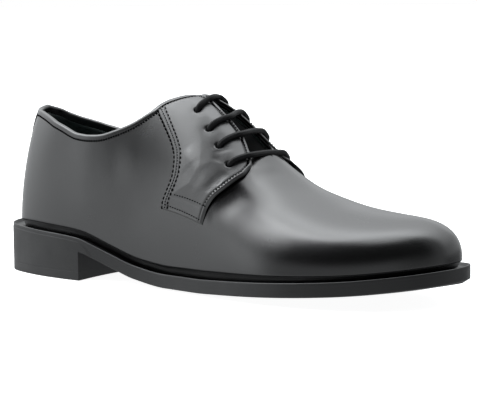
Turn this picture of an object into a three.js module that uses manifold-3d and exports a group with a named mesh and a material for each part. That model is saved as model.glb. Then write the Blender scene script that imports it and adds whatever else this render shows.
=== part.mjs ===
import * as THREE from "three";
import Module from "manifold-3d";

// A derby shoe for the right foot, in millimetres, Z up, toe along +X, outer side along -Y.
// The origin lies on the floor under the middle of the heel.

// Driving sizes
const LENGTH = 306;
const BALL_WIDTH = 91;
const INSTEP_HEIGHT = 108.5;
const HEEL_SEAT = 21.2;
const HEEL_ORIGIN = 36;

// Thicknesses
const SOLE_EDGE = 8;
const UPPER_WALL = 2;
const FACING_WALL = 2.2;
const TONGUE_WALL = 2.4;
const INSOLE_WALL = 2.5;
const TOP_LIFT = 5;
const LACE_DIAMETER = 2.8;

// Fits
const CURVED_GAP = 0.3;
const PLATE_GAP = 0.2;
const TONGUE_GAP = 1;
const LACE_GAP = 0.6;

// Details
const HEEL_BREAST = 74.5;
const BREAST_HOLLOW = 2.5;
const LIFT_INSET = 0.4;
const FLAT_SHARE = 0.35;
const RIM_DEPTH = 3;
const RIM_STEP = 0.5;
const EDGE_ROUND = 1.2;
const LACE_IN_HOLE = 1;
const LACE_ARCH = 1.2;
const OUTER_GAPE = 1.2;
const INNER_GAPE = 4;
const GAPE_START = 0.7;

// Mesh densities
const HEEL_TO_THROAT = 18;
const THROAT_STEPS = 8;
const VAMP_STEPS = 14;
const UPPER_ROWS = 11;
const SOLE_ACROSS = 6;
const HOLLOW_STEPS = 3;
const HEEL_STEPS = 12;
const FACING_ROWS = 16;
const FACING_ACROSS = 8;
const TONGUE_STEPS = 12;
const TONGUE_ACROSS = 10;
const LACE_STEPS = 14;
const LACE_SIDES = 8;
const HOLE_SIDES = 12;

const FACING_IN = CURVED_GAP;
const FACING_OUT = CURVED_GAP + FACING_WALL;
const TONGUE_OUT = -UPPER_WALL - TONGUE_GAP;
const TONGUE_IN = TONGUE_OUT - TONGUE_WALL;
const LACE_RADIUS = LACE_DIAMETER / 2;
const HOLE_RADIUS = LACE_RADIUS + LACE_GAP;

// Sections from the heel to the toe. foot and top are shares of LENGTH: where the section
// meets the sole and where it meets the ridge. outer, inner, flare and ledge are shares of
// BALL_WIDTH. wall is the share of the rise that stays upright, roof the share of the reach
// that stays level with the ridge, ledge how far the sole stands out.
const SECTIONS = [
  { foot: 0.0201, outer: 0.0, inner: 0.0, top: 0.196, wall: 0.28, flare: -0.006, roof: 0.78, ledge: 0.06 },
  { foot: 0.0354, outer: 0.169, inner: 0.165, top: 0.201, wall: 0.3, flare: -0.003, roof: 0.75, ledge: 0.057 },
  { foot: 0.0758, outer: 0.257, inner: 0.25, top: 0.219, wall: 0.45, flare: 0.025, roof: 0.64, ledge: 0.056 },
  { foot: 0.1503, outer: 0.325, inner: 0.311, top: 0.258, wall: 0.59, flare: 0.052, roof: 0.61, ledge: 0.056 },
  { foot: 0.2451, outer: 0.355, inner: 0.305, top: 0.317, wall: 0.53, flare: 0.048, roof: 0.73, ledge: 0.054 },
  { foot: 0.3431, outer: 0.366, inner: 0.277, top: 0.382, wall: 0.46, flare: 0.044, roof: 0.8, ledge: 0.046 },
  { foot: 0.4412, outer: 0.388, inner: 0.291, top: 0.454, wall: 0.47, flare: 0.049, roof: 0.74, ledge: 0.047 },
  { foot: 0.5392, outer: 0.44, inner: 0.357, top: 0.536, wall: 0.48, flare: 0.049, roof: 0.66, ledge: 0.054 },
  { foot: 0.6275, outer: 0.495, inner: 0.429, top: 0.614, wall: 0.5, flare: 0.042, roof: 0.62, ledge: 0.055 },
  { foot: 0.7059, outer: 0.523, inner: 0.47, top: 0.686, wall: 0.54, flare: 0.033, roof: 0.62, ledge: 0.055 },
  { foot: 0.7843, outer: 0.505, inner: 0.475, top: 0.752, wall: 0.58, flare: 0.027, roof: 0.62, ledge: 0.055 },
  { foot: 0.8562, outer: 0.435, inner: 0.44, top: 0.807, wall: 0.62, flare: 0.024, roof: 0.62, ledge: 0.053 },
  { foot: 0.9118, outer: 0.33, inner: 0.376, top: 0.846, wall: 0.66, flare: 0.022, roof: 0.62, ledge: 0.051 },
  { foot: 0.951, outer: 0.209, inner: 0.291, top: 0.873, wall: 0.7, flare: 0.022, roof: 0.62, ledge: 0.05 },
  { foot: 0.9761, outer: 0.079, inner: 0.187, top: 0.887, wall: 0.72, flare: 0.022, roof: 0.62, ledge: 0.05 },
  { foot: 0.985, outer: -0.044, inner: 0.044, top: 0.892, wall: 0.72, flare: 0.022, roof: 0.62, ledge: 0.05 },
];

// The ridge over the instep and vamp: at is a share of LENGTH, height of INSTEP_HEIGHT,
// lean the sideways drift toward the inner side as a share of BALL_WIDTH.
const RIDGE = [
  { at: 0.131, height: 1.235, lean: 0.0 },
  { at: 0.196, height: 1.207, lean: 0.0 },
  { at: 0.255, height: 1.175, lean: 0.0 },
  { at: 0.314, height: 1.129, lean: 0.0 },
  { at: 0.382, height: 1.065, lean: 0.0 },
  { at: 0.454, height: 1.0, lean: 0.003 },
  { at: 0.5, height: 0.945, lean: 0.007 },
  { at: 0.536, height: 0.877, lean: 0.011 },
  { at: 0.575, height: 0.778, lean: 0.014 },
  { at: 0.614, height: 0.678, lean: 0.018 },
  { at: 0.654, height: 0.597, lean: 0.021 },
  { at: 0.686, height: 0.549, lean: 0.024 },
  { at: 0.725, height: 0.507, lean: 0.028 },
  { at: 0.771, height: 0.47, lean: 0.032 },
  { at: 0.824, height: 0.445, lean: 0.036 },
  { at: 0.876, height: 0.432, lean: 0.039 },
  { at: 0.931, height: 0.424, lean: 0.042 },
  { at: 0.98, height: 0.418, lean: 0.044 },
];

// The underside along the shoe, in shares of HEEL_SEAT: edge at the rim, centre under the middle.
const SOLE_LINE = [
  { at: 0.0, edge: 1.0, centre: 1.0 },
  { at: 0.12, edge: 0.925, centre: 0.925 },
  { at: 0.2, edge: 0.872, centre: 0.872 },
  { at: 0.24, edge: 0.815, centre: 0.815 },
  { at: 0.28, edge: 0.65, centre: 0.63 },
  { at: 0.33, edge: 0.42, centre: 0.385 },
  { at: 0.38, edge: 0.212, centre: 0.165 },
  { at: 0.46, edge: 0.075, centre: 0.0 },
  { at: 0.54, edge: 0.085, centre: 0.0 },
  { at: 0.6, edge: 0.128, centre: 0.0 },
  { at: 0.7, edge: 0.217, centre: 0.1 },
  { at: 0.78, edge: 0.297, centre: 0.19 },
  { at: 0.86, edge: 0.387, centre: 0.3 },
  { at: 0.93, edge: 0.495, centre: 0.43 },
  { at: 1.0, edge: 0.623, centre: 0.59 },
];

// The upper's top edge, for each station from heel (0) to toe (0.5): the share of the
// section's height where the leather ends, on the outer and on the inner side.
const TOPLINE = [
  { station: 0.0, outer: 0.549, inner: 0.549 },
  { station: 0.0267, outer: 0.538, inner: 0.529 },
  { station: 0.0532, outer: 0.511, inner: 0.482 },
  { station: 0.0727, outer: 0.474, inner: 0.435 },
  { station: 0.0875, outer: 0.44, inner: 0.4 },
  { station: 0.0982, outer: 0.417, inner: 0.38 },
  { station: 0.1088, outer: 0.405, inner: 0.372 },
  { station: 0.1202, outer: 0.397, inner: 0.376 },
  { station: 0.1292, outer: 0.407, inner: 0.392 },
  { station: 0.1375, outer: 0.428, inner: 0.417 },
  { station: 0.1451, outer: 0.457, inner: 0.448 },
  { station: 0.1525, outer: 0.496, inner: 0.489 },
  { station: 0.1585, outer: 0.53, inner: 0.524 },
  { station: 0.1679, outer: 0.593, inner: 0.588 },
  { station: 0.1791, outer: 0.703, inner: 0.7 },
  { station: 0.184, outer: 0.764, inner: 0.762 },
  { station: 0.1893, outer: 0.82, inner: 0.82 },
  { station: 0.1943, outer: 0.876, inner: 0.876 },
  { station: 0.2003, outer: 0.935, inner: 0.935 },
  { station: 0.2095, outer: 0.925, inner: 0.925 },
  { station: 0.2169, outer: 0.915, inner: 0.915 },
  { station: 0.228, outer: 0.885, inner: 0.885 },
  { station: 0.243, outer: 0.862, inner: 0.862 },
  { station: 0.2527, outer: 0.84, inner: 0.84 },
  { station: 0.2575, outer: 0.87, inner: 0.87 },
  { station: 0.261, outer: 0.96, inner: 0.96 },
];
const THROAT_CORNER = 0.2003;
const THROAT_END = 0.263;

// The facing, from its bottom tab up: rear seam and front edge as station and height share.
// gape is the share of OUTER_GAPE or INNER_GAPE by which the front edge stands off the vamp,
// and reach is how much further forward the front edge lies on the inner side.
const FACING = [
  { rearAt: 0.201, rearUp: 0.2575, frontAt: 0.2364, frontUp: 0.2448, gape: 0, reach: 0 },
  { rearAt: 0.2012, rearUp: 0.2824, frontAt: 0.2397, frontUp: 0.332, gape: 0.35, reach: 0.002 },
  { rearAt: 0.2036, rearUp: 0.3314, frontAt: 0.2442, frontUp: 0.4, gape: 0.8, reach: 0.006 },
  { rearAt: 0.206, rearUp: 0.38, frontAt: 0.252, frontUp: 0.4988, gape: 1, reach: 0.009 },
  { rearAt: 0.207, rearUp: 0.4181, frontAt: 0.2575, frontUp: 0.59, gape: 0.95, reach: 0.0055 },
  { rearAt: 0.2066, rearUp: 0.46, frontAt: 0.261, frontUp: 0.67, gape: 0.65, reach: 0.001 },
  { rearAt: 0.205, rearUp: 0.505, frontAt: 0.2614, frontUp: 0.735, gape: 0.35, reach: 0 },
  { rearAt: 0.2015, rearUp: 0.545, frontAt: 0.2585, frontUp: 0.785, gape: 0, reach: 0 },
  { rearAt: 0.197, rearUp: 0.583, frontAt: 0.254, frontUp: 0.82, gape: 0, reach: 0 },
  { rearAt: 0.1925, rearUp: 0.615, frontAt: 0.243, frontUp: 0.8765, gape: 0, reach: 0 },
  { rearAt: 0.189, rearUp: 0.64, frontAt: 0.228, frontUp: 0.8975, gape: 0, reach: 0 },
  { rearAt: 0.1845, rearUp: 0.67, frontAt: 0.215, frontUp: 0.93, gape: 0, reach: 0 },
  { rearAt: 0.18, rearUp: 0.71, frontAt: 0.2025, frontUp: 0.948, gape: 0, reach: 0 },
];

// The tongue, from its top to its hidden end: station, and the height share of its side edges.
const TONGUE = [
  { station: 0.204, side: 0.69 },
  { station: 0.215, side: 0.66 },
  { station: 0.235, side: 0.66 },
  { station: 0.26, side: 0.68 },
  { station: 0.285, side: 0.74 },
];

// Lace bars from the top: the eyelet, and where the bar passes the facing's front edge.
const LACE = [
  { eyeletAt: 0.2117, eyeletUp: 0.788, edgeAt: 0.213, edgeUp: 0.92 },
  { eyeletAt: 0.2255, eyeletUp: 0.7171, edgeAt: 0.2315, edgeUp: 0.88 },
  { eyeletAt: 0.2365, eyeletUp: 0.6724, edgeAt: 0.244, edgeUp: 0.855 },
  { eyeletAt: 0.248, eyeletUp: 0.6268, edgeAt: 0.257, edgeUp: 0.785 },
];

const wasm = await Module();
wasm.setup();

// Natural cubic spline through the table's points.
function naturalSpline(xs, ys) {
  const count = xs.length;
  const bend = new Array(count).fill(0);
  const carry = new Array(count).fill(0);
  for (let i = 1; i < count - 1; i += 1) {
    const share = (xs[i] - xs[i - 1]) / (xs[i + 1] - xs[i - 1]);
    const pivot = share * bend[i - 1] + 2;
    const before = (ys[i] - ys[i - 1]) / (xs[i] - xs[i - 1]);
    const after = (ys[i + 1] - ys[i]) / (xs[i + 1] - xs[i]);
    bend[i] = (share - 1) / pivot;
    carry[i] = ((6 * (after - before)) / (xs[i + 1] - xs[i - 1]) - share * carry[i - 1]) / pivot;
  }
  bend[count - 1] = 0;
  for (let i = count - 2; i >= 0; i -= 1) {
    bend[i] = bend[i] * bend[i + 1] + carry[i];
  }
  return (x) => {
    const i = spanOf(xs, x);
    const width = xs[i + 1] - xs[i];
    const a = (xs[i + 1] - x) / width;
    const b = (x - xs[i]) / width;
    const cubic = (a ** 3 - a) * bend[i] + (b ** 3 - b) * bend[i + 1];
    return a * ys[i] + b * ys[i + 1] + (cubic * width * width) / 6;
  };
}

function spanOf(xs, x) {
  let i = 0;
  while (i < xs.length - 2 && x > xs[i + 1]) {
    i += 1;
  }
  return i;
}

// Cubic that never overshoots its table, so level stretches stay level.
function steadySpline(xs, ys) {
  const count = xs.length;
  const rise = [];
  for (let i = 0; i < count - 1; i += 1) {
    rise.push((ys[i + 1] - ys[i]) / (xs[i + 1] - xs[i]));
  }
  const slope = [rise[0]];
  for (let i = 1; i < count - 1; i += 1) {
    const before = rise[i - 1];
    const after = rise[i];
    const first = 2 * (xs[i + 1] - xs[i]) + (xs[i] - xs[i - 1]);
    const second = xs[i + 1] - xs[i] + 2 * (xs[i] - xs[i - 1]);
    slope.push(before * after <= 0 ? 0 : (first + second) / (first / before + second / after));
  }
  slope.push(rise[count - 2]);
  return (at) => {
    const x = Math.min(Math.max(at, xs[0]), xs[count - 1]);
    const i = spanOf(xs, x);
    const width = xs[i + 1] - xs[i];
    const u = (x - xs[i]) / width;
    const start = (1 + 2 * u) * (1 - u) ** 2 * ys[i] + u * (1 - u) ** 2 * width * slope[i];
    const end = u * u * (3 - 2 * u) * ys[i + 1] + u * u * (u - 1) * width * slope[i + 1];
    return start + end;
  };
}

function column(table, key, name, scaleKey, scaleName) {
  const xs = table.map((row) => row[key] * scaleKey);
  const ys = table.map((row) => row[name] * scaleName);
  return [xs, ys];
}

// Station columns run once around the shoe: outer side to the toe, inner side back.
const LAST_ROW = SECTIONS.length - 1;
const RING_WRAP = 4;
function around(outerOf, innerOf) {
  const ring = SECTIONS.map(outerOf);
  for (let i = LAST_ROW - 1; i > 0; i -= 1) {
    ring.push(innerOf(SECTIONS[i]));
  }
  const xs = [];
  const ys = [];
  for (let i = -RING_WRAP; i < ring.length + RING_WRAP; i += 1) {
    xs.push(i / ring.length);
    ys.push(ring[(i + ring.length) % ring.length]);
  }
  const curve = naturalSpline(xs, ys);
  return (station) => curve(station - Math.floor(station));
}

const same = (name, scale) => around((row) => row[name] * scale, (row) => row[name] * scale);
const footX = same("foot", LENGTH);
const topX = same("top", LENGTH);
const wallShare = same("wall", 1);
const roofShare = same("roof", 1);
const flareOut = same("flare", BALL_WIDTH);
const ledgeOut = same("ledge", BALL_WIDTH);
const footY = around((row) => -row.outer * BALL_WIDTH, (row) => row.inner * BALL_WIDTH);
const ridgeZ = naturalSpline(...column(RIDGE, "at", "height", LENGTH, INSTEP_HEIGHT));
const ridgeY = naturalSpline(...column(RIDGE, "at", "lean", LENGTH, BALL_WIDTH));
const soleEdgeZ = steadySpline(...column(SOLE_LINE, "at", "edge", LENGTH, HEEL_SEAT));
const soleCentreZ = steadySpline(...column(SOLE_LINE, "at", "centre", LENGTH, HEEL_SEAT));
const outerTop = steadySpline(...column(TOPLINE, "station", "outer", 1, 1));
const innerTop = steadySpline(...column(TOPLINE, "station", "inner", 1, 1));

const soleTopZ = (x) => soleEdgeZ(x) + SOLE_EDGE;
const upperFootZ = (x) => soleTopZ(x) + CURVED_GAP;
const ridgeSlope = (x) => ridgeZ(x + 0.5) - ridgeZ(x - 0.5);
const mixed = (a, b, share) => a + (b - a) * share;

// One point of the last's outside: station once around, up from sole (0) to ridge (1).
function lastPoint(station, up) {
  const x = footX(station);
  const foot = new THREE.Vector3(x, footY(station), upperFootZ(x));
  const ridgeAt = topX(station);
  const top = new THREE.Vector3(ridgeAt, ridgeY(ridgeAt), ridgeZ(ridgeAt));
  const reach = new THREE.Vector3(top.x - foot.x, top.y - foot.y, 0);
  const rise = top.z - foot.z;
  const outward = reach.clone().normalize().multiplyScalar(-flareOut(station));
  const upright = foot.clone().add(outward);
  upright.z += wallShare(station) * rise;
  const level = top.clone().addScaledVector(reach, -roofShare(station));
  level.z -= roofShare(station) * reach.x * ridgeSlope(ridgeAt);
  const rest = 1 - up;
  const point = foot.multiplyScalar(rest ** 3);
  point.addScaledVector(upright, 3 * up * rest * rest);
  point.addScaledVector(level, 3 * up * up * rest);
  point.addScaledVector(top, up ** 3);
  return point;
}

const NUDGE = 0.0008;
const CREST_SHARE = 0.999;
function lastNormal(station, up) {
  if (up > CREST_SHARE) {
    return new THREE.Vector3(-ridgeSlope(topX(station)), 0, 1).normalize();
  }
  const along = lastPoint(station + NUDGE, up).sub(lastPoint(station - NUDGE, up));
  const above = Math.min(up + NUDGE, 1);
  const below = Math.max(up - NUDGE, 0);
  const across = lastPoint(station, above).sub(lastPoint(station, below));
  return along.cross(across).normalize();
}

// A point that stands out from the last's outside by a distance, or inside it when negative.
function offLast(station, up, out) {
  return lastPoint(station, up).addScaledVector(lastNormal(station, up), out);
}

// A point on a flat outline that stands out from the upper's foot.
function footOutline(station, out) {
  const dx = footX(station + NUDGE) - footX(station - NUDGE);
  const dy = footY(station + NUDGE) - footY(station - NUDGE);
  const size = Math.hypot(dx, dy);
  return { x: footX(station) + (dy / size) * out, y: footY(station) - (dx / size) * out };
}

// Collects points and quads of one closed body.
class Shell {
  constructor() {
    this.points = [];
    this.faces = [];
  }

  add(point) {
    this.points.push(point.x - HEEL_ORIGIN, point.y, point.z);
    return this.points.length / 3 - 1;
  }

  tri(a, b, c) {
    if (a !== b && b !== c && c !== a) {
      this.faces.push(a, b, c);
    }
  }

  quad(a, b, c, d) {
    this.tri(a, b, c);
    this.tri(a, c, d);
  }

  manifold() {
    const mesh = new wasm.Mesh({
      numProp: 3,
      vertProperties: Float32Array.from(this.points),
      triVerts: Uint32Array.from(this.faces),
    });
    return new wasm.Manifold(mesh);
  }
}

// Joins two lists of point numbers, running the same way, with quads.
function joinRings(shell, lower, upper, closed) {
  const count = closed ? lower.length : lower.length - 1;
  for (let i = 0; i < count; i += 1) {
    const next = (i + 1) % lower.length;
    shell.quad(lower[i], lower[next], upper[next], upper[i]);
  }
}

function fromManifold(body) {
  const mesh = body.getMesh();
  const geometry = new THREE.BufferGeometry();
  const flat = new Float32Array(mesh.numVert * 3);
  for (let i = 0; i < mesh.numVert; i += 1) {
    for (let k = 0; k < 3; k += 1) {
      flat[i * 3 + k] = mesh.vertProperties[i * mesh.numProp + k];
    }
  }
  geometry.setAttribute("position", new THREE.BufferAttribute(flat, 3));
  geometry.setIndex(Array.from(mesh.triVerts));
  geometry.computeVertexNormals();
  return geometry;
}

const group = new THREE.Group();
group.name = "derby_shoe";

function addPart(name, body, color, roughness) {
  const material = new THREE.MeshStandardMaterial({ color, roughness });
  const mesh = new THREE.Mesh(fromManifold(body), material);
  mesh.name = name;
  group.add(mesh);
}

// Stations from heel to toe along one side; the other side mirrors them.
function sideStations() {
  const list = [];
  for (let i = 0; i < HEEL_TO_THROAT; i += 1) {
    list.push(mixed(0, THROAT_CORNER, i / HEEL_TO_THROAT));
  }
  for (let i = 0; i < THROAT_STEPS; i += 1) {
    list.push(mixed(THROAT_CORNER, THROAT_END, i / THROAT_STEPS));
  }
  for (let i = 0; i <= VAMP_STEPS; i += 1) {
    list.push(mixed(THROAT_END, 0.5, i / VAMP_STEPS));
  }
  return list;
}

// One skin of the upper. Sections past the throat's end run up to the shared ridge.
function upperSkin(shell, out) {
  const stations = sideStations();
  const toe = stations.length - 1;
  const closedFrom = HEEL_TO_THROAT + THROAT_STEPS;
  const ridge = [];
  const columns = [];
  for (let i = 0; i < 2 * toe; i += 1) {
    const inner = i > toe;
    const index = inner ? 2 * toe - i : i;
    const station = inner ? 1 - stations[index] : stations[index];
    const closed = index >= closedFrom;
    const end = closed ? 1 : (inner ? innerTop : outerTop)(stations[index]);
    const rows = [];
    for (let j = 0; j < UPPER_ROWS; j += 1) {
      rows.push(shell.add(offLast(station, (end * j) / UPPER_ROWS, out)));
    }
    if (closed && ridge[index] === undefined) {
      ridge[index] = shell.add(offLast(station, 1, out));
    }
    rows.push(closed ? ridge[index] : shell.add(offLast(station, end, out)));
    columns.push(rows);
  }
  const rim = [];
  for (let i = 0; i <= closedFrom; i += 1) {
    rim.push(columns[i][UPPER_ROWS]);
  }
  for (let i = closedFrom - 1; i > 0; i -= 1) {
    rim.push(columns[2 * toe - i][UPPER_ROWS]);
  }
  return { columns, rim };
}

function upperBody() {
  const shell = new Shell();
  const outside = upperSkin(shell, 0);
  const inside = upperSkin(shell, -UPPER_WALL);
  const count = outside.columns.length;
  for (let i = 0; i < count; i += 1) {
    const next = (i + 1) % count;
    joinRings(shell, outside.columns[next], outside.columns[i], false);
    joinRings(shell, inside.columns[i], inside.columns[next], false);
    const outerFoot = [outside.columns[i][0], outside.columns[next][0]];
    const innerFoot = [inside.columns[i][0], inside.columns[next][0]];
    joinRings(shell, innerFoot, outerFoot, false);
  }
  joinRings(shell, outside.rim, inside.rim, true);
  return shell.manifold();
}

// A plate from rings of points stacked upward. ringAt(layer) gives the pairs of that layer,
// capZ(layer, x, share) the height across the lowest and the highest layer.
function plateBody(layers, pairCount, across, ringAt, capZ, openEnd) {
  const shell = new Shell();
  const grids = [];
  for (let layer = 0; layer < layers; layer += 1) {
    const capped = layer === 0 || layer === layers - 1;
    const pairs = ringAt(layer);
    const grid = [];
    for (let i = 0; i < pairCount; i += 1) {
      const { near, far } = pairs[i];
      const merged = i === 0 || (i === pairCount - 1 && !openEnd);
      const row = [];
      for (let j = 0; j <= across; j += 1) {
        const share = j / across;
        const inRing = j === 0 || j === across || (openEnd && i === pairCount - 1);
        if (merged && j > 0) {
          row.push(row[0]);
        } else if (inRing || capped) {
          const x = mixed(near.x, far.x, share) + hollowAt(openEnd, i, pairCount, share);
          const y = mixed(near.y, far.y, share);
          row.push(shell.add({ x, y, z: capZ(layer, x, Math.abs(2 * share - 1)) }));
        } else {
          row.push(-1);
        }
      }
      grid.push(row);
    }
    grids.push(grid);
  }
  const ringOf = (grid) => {
    const ring = grid.map((row) => row[0]);
    const last = grid[pairCount - 1];
    if (openEnd) {
      ring.push(...last.slice(1, across));
    }
    const from = openEnd ? pairCount - 1 : pairCount - 2;
    for (let i = from; i > 0; i -= 1) {
      ring.push(grid[i][across]);
    }
    return ring;
  };
  for (let layer = 0; layer < layers - 1; layer += 1) {
    joinRings(shell, ringOf(grids[layer]), ringOf(grids[layer + 1]), true);
  }
  for (let i = 0; i < pairCount - 1; i += 1) {
    joinRings(shell, grids[0][i], grids[0][i + 1], false);
    joinRings(shell, grids[layers - 1][i + 1], grids[layers - 1][i], false);
  }
  return shell.manifold();
}

// The breast line of an open-ended plate is hollowed toward the heel.
function hollowAt(openEnd, index, pairCount, share) {
  if (!openEnd) {
    return 0;
  }
  const fade = Math.max(0, (index - pairCount + 1) / HOLLOW_STEPS + 1);
  return -BREAST_HOLLOW * fade * (1 - (2 * share - 1) ** 2);
}

const outlinePairs = (stations, out) => stations.map((station) => ({
  near: footOutline(station, ledgeOut(station) + out),
  far: footOutline(1 - station, ledgeOut(station) + out),
}));

const spread = (from, to, steps) => {
  const list = [];
  for (let i = 0; i <= steps; i += 1) {
    list.push(mixed(from, to, i / steps));
  }
  return list;
};

// The underside rises from its centre to its rim, and is level in the middle.
function undersideZ(x, share) {
  const past = Math.max(0, (share - FLAT_SHARE) / (1 - FLAT_SHARE));
  return mixed(soleCentreZ(x), soleEdgeZ(x), past * past);
}

// The outsole's side, from the tread up: out is how far it stands from the outline.
const SOLE_SIDE = [
  { out: -EDGE_ROUND, up: 0 },
  { out: -EDGE_ROUND / 4, up: EDGE_ROUND / 3 },
  { out: 0, up: EDGE_ROUND },
  { out: 0, up: SOLE_EDGE - RIM_DEPTH - RIM_STEP },
  { out: -RIM_STEP, up: SOLE_EDGE - RIM_DEPTH },
  { out: 0, up: SOLE_EDGE - RIM_DEPTH + RIM_STEP },
  { out: 0, up: SOLE_EDGE - EDGE_ROUND / 2 },
  { out: -EDGE_ROUND / 2, up: SOLE_EDGE },
];

// Below this layer the side is rounded, except over the heel, where the two run flush.
const TREAD_LAYERS = 2;

function outsoleBody() {
  const stations = sideStations();
  const flushEnd = breastStation(0);
  const ringAt = (layer) => stations.map((station) => {
    const flush = layer < TREAD_LAYERS && station < flushEnd;
    return outlinePairs([station], flush ? 0 : SOLE_SIDE[layer].out)[0];
  });
  const heightAt = (layer, x, share) => {
    if (layer === 0) {
      return undersideZ(x, share);
    }
    return soleEdgeZ(x) + SOLE_SIDE[layer].up;
  };
  return plateBody(SOLE_SIDE.length, stations.length, SOLE_ACROSS, ringAt, heightAt, false);
}

function insoleBody() {
  const stations = sideStations();
  const inset = UPPER_WALL + CURVED_GAP;
  const pairs = stations.map((station) => ({
    near: footOutline(station, -inset),
    far: footOutline(1 - station, -inset),
  }));
  const heightAt = (layer, x) => upperFootZ(x) + PLATE_GAP + layer * INSOLE_WALL;
  return plateBody(2, stations.length, SOLE_ACROSS - 2, () => pairs, heightAt, false);
}

// Station on the outer side where the outline passes the heel's breast, found by halving.
const BREAST_BETWEEN = [0.05, 0.25];
const HALVINGS = 40;
function breastStation(out) {
  let [low, high] = BREAST_BETWEEN;
  for (let i = 0; i < HALVINGS; i += 1) {
    const middle = (low + high) / 2;
    if (footOutline(middle, ledgeOut(middle) + out).x < HEEL_BREAST) {
      low = middle;
    } else {
      high = middle;
    }
  }
  return low;
}

function heelBody(inset, lowZ, highZ) {
  const stations = spread(0, breastStation(-inset), HEEL_STEPS);
  const pairs = outlinePairs(stations, -inset);
  const heightAt = (layer, x, share) => (layer === 0 ? lowZ(x, share) : highZ(x, share));
  return plateBody(2, stations.length, 4, () => pairs, heightAt, true);
}

// A slab in the last's own coordinates. placeAt(row, across) gives station, up and lift.
function slabBody(rows, across, placeAt, outside, inside) {
  const shell = new Shell();
  const skins = [outside, inside].map((out) => {
    const grid = [];
    for (let i = 0; i <= rows; i += 1) {
      const line = [];
      for (let j = 0; j <= across; j += 1) {
        const { station, up, lift } = placeAt(i / rows, j / across);
        line.push(shell.add(offLast(station, up, out + lift)));
      }
      grid.push(line);
    }
    return grid;
  });
  const [top, bottom] = skins;
  for (let i = 0; i < rows; i += 1) {
    joinRings(shell, top[i], top[i + 1], false);
    joinRings(shell, bottom[i + 1], bottom[i], false);
  }
  const borderOf = (grid) => {
    const border = grid[0].slice();
    for (let i = 1; i <= rows; i += 1) {
      border.push(grid[i][across]);
    }
    for (let j = across - 1; j >= 0; j -= 1) {
      border.push(grid[rows][j]);
    }
    for (let i = rows - 1; i > 0; i -= 1) {
      border.push(grid[i][0]);
    }
    return border;
  };
  joinRings(shell, borderOf(bottom), borderOf(top), true);
  return shell.manifold();
}

const facingColumn = (name) => {
  const xs = FACING.map((row, index) => index / (FACING.length - 1));
  return steadySpline(xs, FACING.map((row) => row[name]));
};
const rearAt = facingColumn("rearAt");
const rearUp = facingColumn("rearUp");
const frontAt = facingColumn("frontAt");
const frontUp = facingColumn("frontUp");
const gapeShare = facingColumn("gape");
const innerReach = facingColumn("reach");

function facingBody(inner) {
  const placeAt = (row, across) => {
    const share = inner ? 1 - across : across;
    const front = frontAt(row) + (inner ? innerReach(row) : 0);
    const station = mixed(rearAt(row), front, share);
    const up = mixed(rearUp(row), frontUp(row), share);
    const opened = Math.max(0, (share - GAPE_START) / (1 - GAPE_START));
    const lift = (inner ? INNER_GAPE : OUTER_GAPE) * gapeShare(row) * opened * opened;
    return { station: inner ? 1 - station : station, up, lift };
  };
  return slabBody(FACING_ROWS, FACING_ACROSS, placeAt, FACING_OUT, FACING_IN);
}

const tongueSide = steadySpline(...column(TONGUE, "station", "side", 1, 1));

function tongueBody() {
  const first = TONGUE[0].station;
  const last = TONGUE[TONGUE.length - 1].station;
  const placeAt = (row, across) => {
    const station = mixed(first, last, row);
    const side = 2 * across - 1;
    const up = 1 - Math.abs(side) * (1 - tongueSide(station));
    return { station: side > 0 ? station : 1 - station, up, lift: 0 };
  };
  return slabBody(TONGUE_STEPS, TONGUE_ACROSS, placeAt, TONGUE_OUT, TONGUE_IN);
}

// A closed round bar along a smooth path.
function barBody(points, radius) {
  const path = new THREE.CatmullRomCurve3(points, false, "centripetal");
  const frames = path.computeFrenetFrames(LACE_STEPS, false);
  const shell = new Shell();
  const rings = [];
  for (let i = 0; i <= LACE_STEPS; i += 1) {
    const middle = path.getPointAt(i / LACE_STEPS);
    const ring = [];
    for (let k = 0; k < LACE_SIDES; k += 1) {
      const turn = (2 * Math.PI * k) / LACE_SIDES;
      const point = middle.clone();
      point.addScaledVector(frames.normals[i], radius * Math.cos(turn));
      point.addScaledVector(frames.binormals[i], radius * Math.sin(turn));
      ring.push(shell.add(point));
    }
    rings.push(ring);
  }
  for (let i = 0; i < LACE_STEPS; i += 1) {
    joinRings(shell, rings[i], rings[i + 1], true);
  }
  const start = shell.add(path.getPointAt(0));
  const end = shell.add(path.getPointAt(1));
  for (let k = 0; k < LACE_SIDES; k += 1) {
    const next = (k + 1) % LACE_SIDES;
    shell.tri(rings[0][next], rings[0][k], start);
    shell.tri(rings[LACE_STEPS][k], rings[LACE_STEPS][next], end);
  }
  return shell.manifold();
}

const LACE_RIDE = FACING_OUT + LACE_RADIUS + LACE_GAP;

// Half of a bar's path, from inside the eyelet to the facing's front edge. It is up on the
// leather at BAR_UP of the way, and has come down to it again at BAR_DOWN.
const BAR_UP = 0.35;
const BAR_DOWN = 0.65;
function halfBar(row, inner) {
  const place = (share, out) => {
    const station = mixed(row.eyeletAt, row.edgeAt, share);
    const up = mixed(row.eyeletUp, row.edgeUp, share);
    return offLast(inner ? 1 - station : station, up, out);
  };
  return [
    place(0, -LACE_IN_HOLE),
    place(0, FACING_OUT + LACE_GAP),
    place(BAR_UP, LACE_RIDE + LACE_GAP),
    place(BAR_DOWN, LACE_RIDE + CURVED_GAP),
    place(1, LACE_RIDE),
  ];
}

function laceBar(row) {
  const outer = halfBar(row, false);
  const inner = halfBar(row, true);
  const middle = outer[4].clone().lerp(inner[4], 0.5);
  middle.z += LACE_ARCH;
  return barBody([...outer, middle, ...inner.reverse()], LACE_RADIUS);
}

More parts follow.
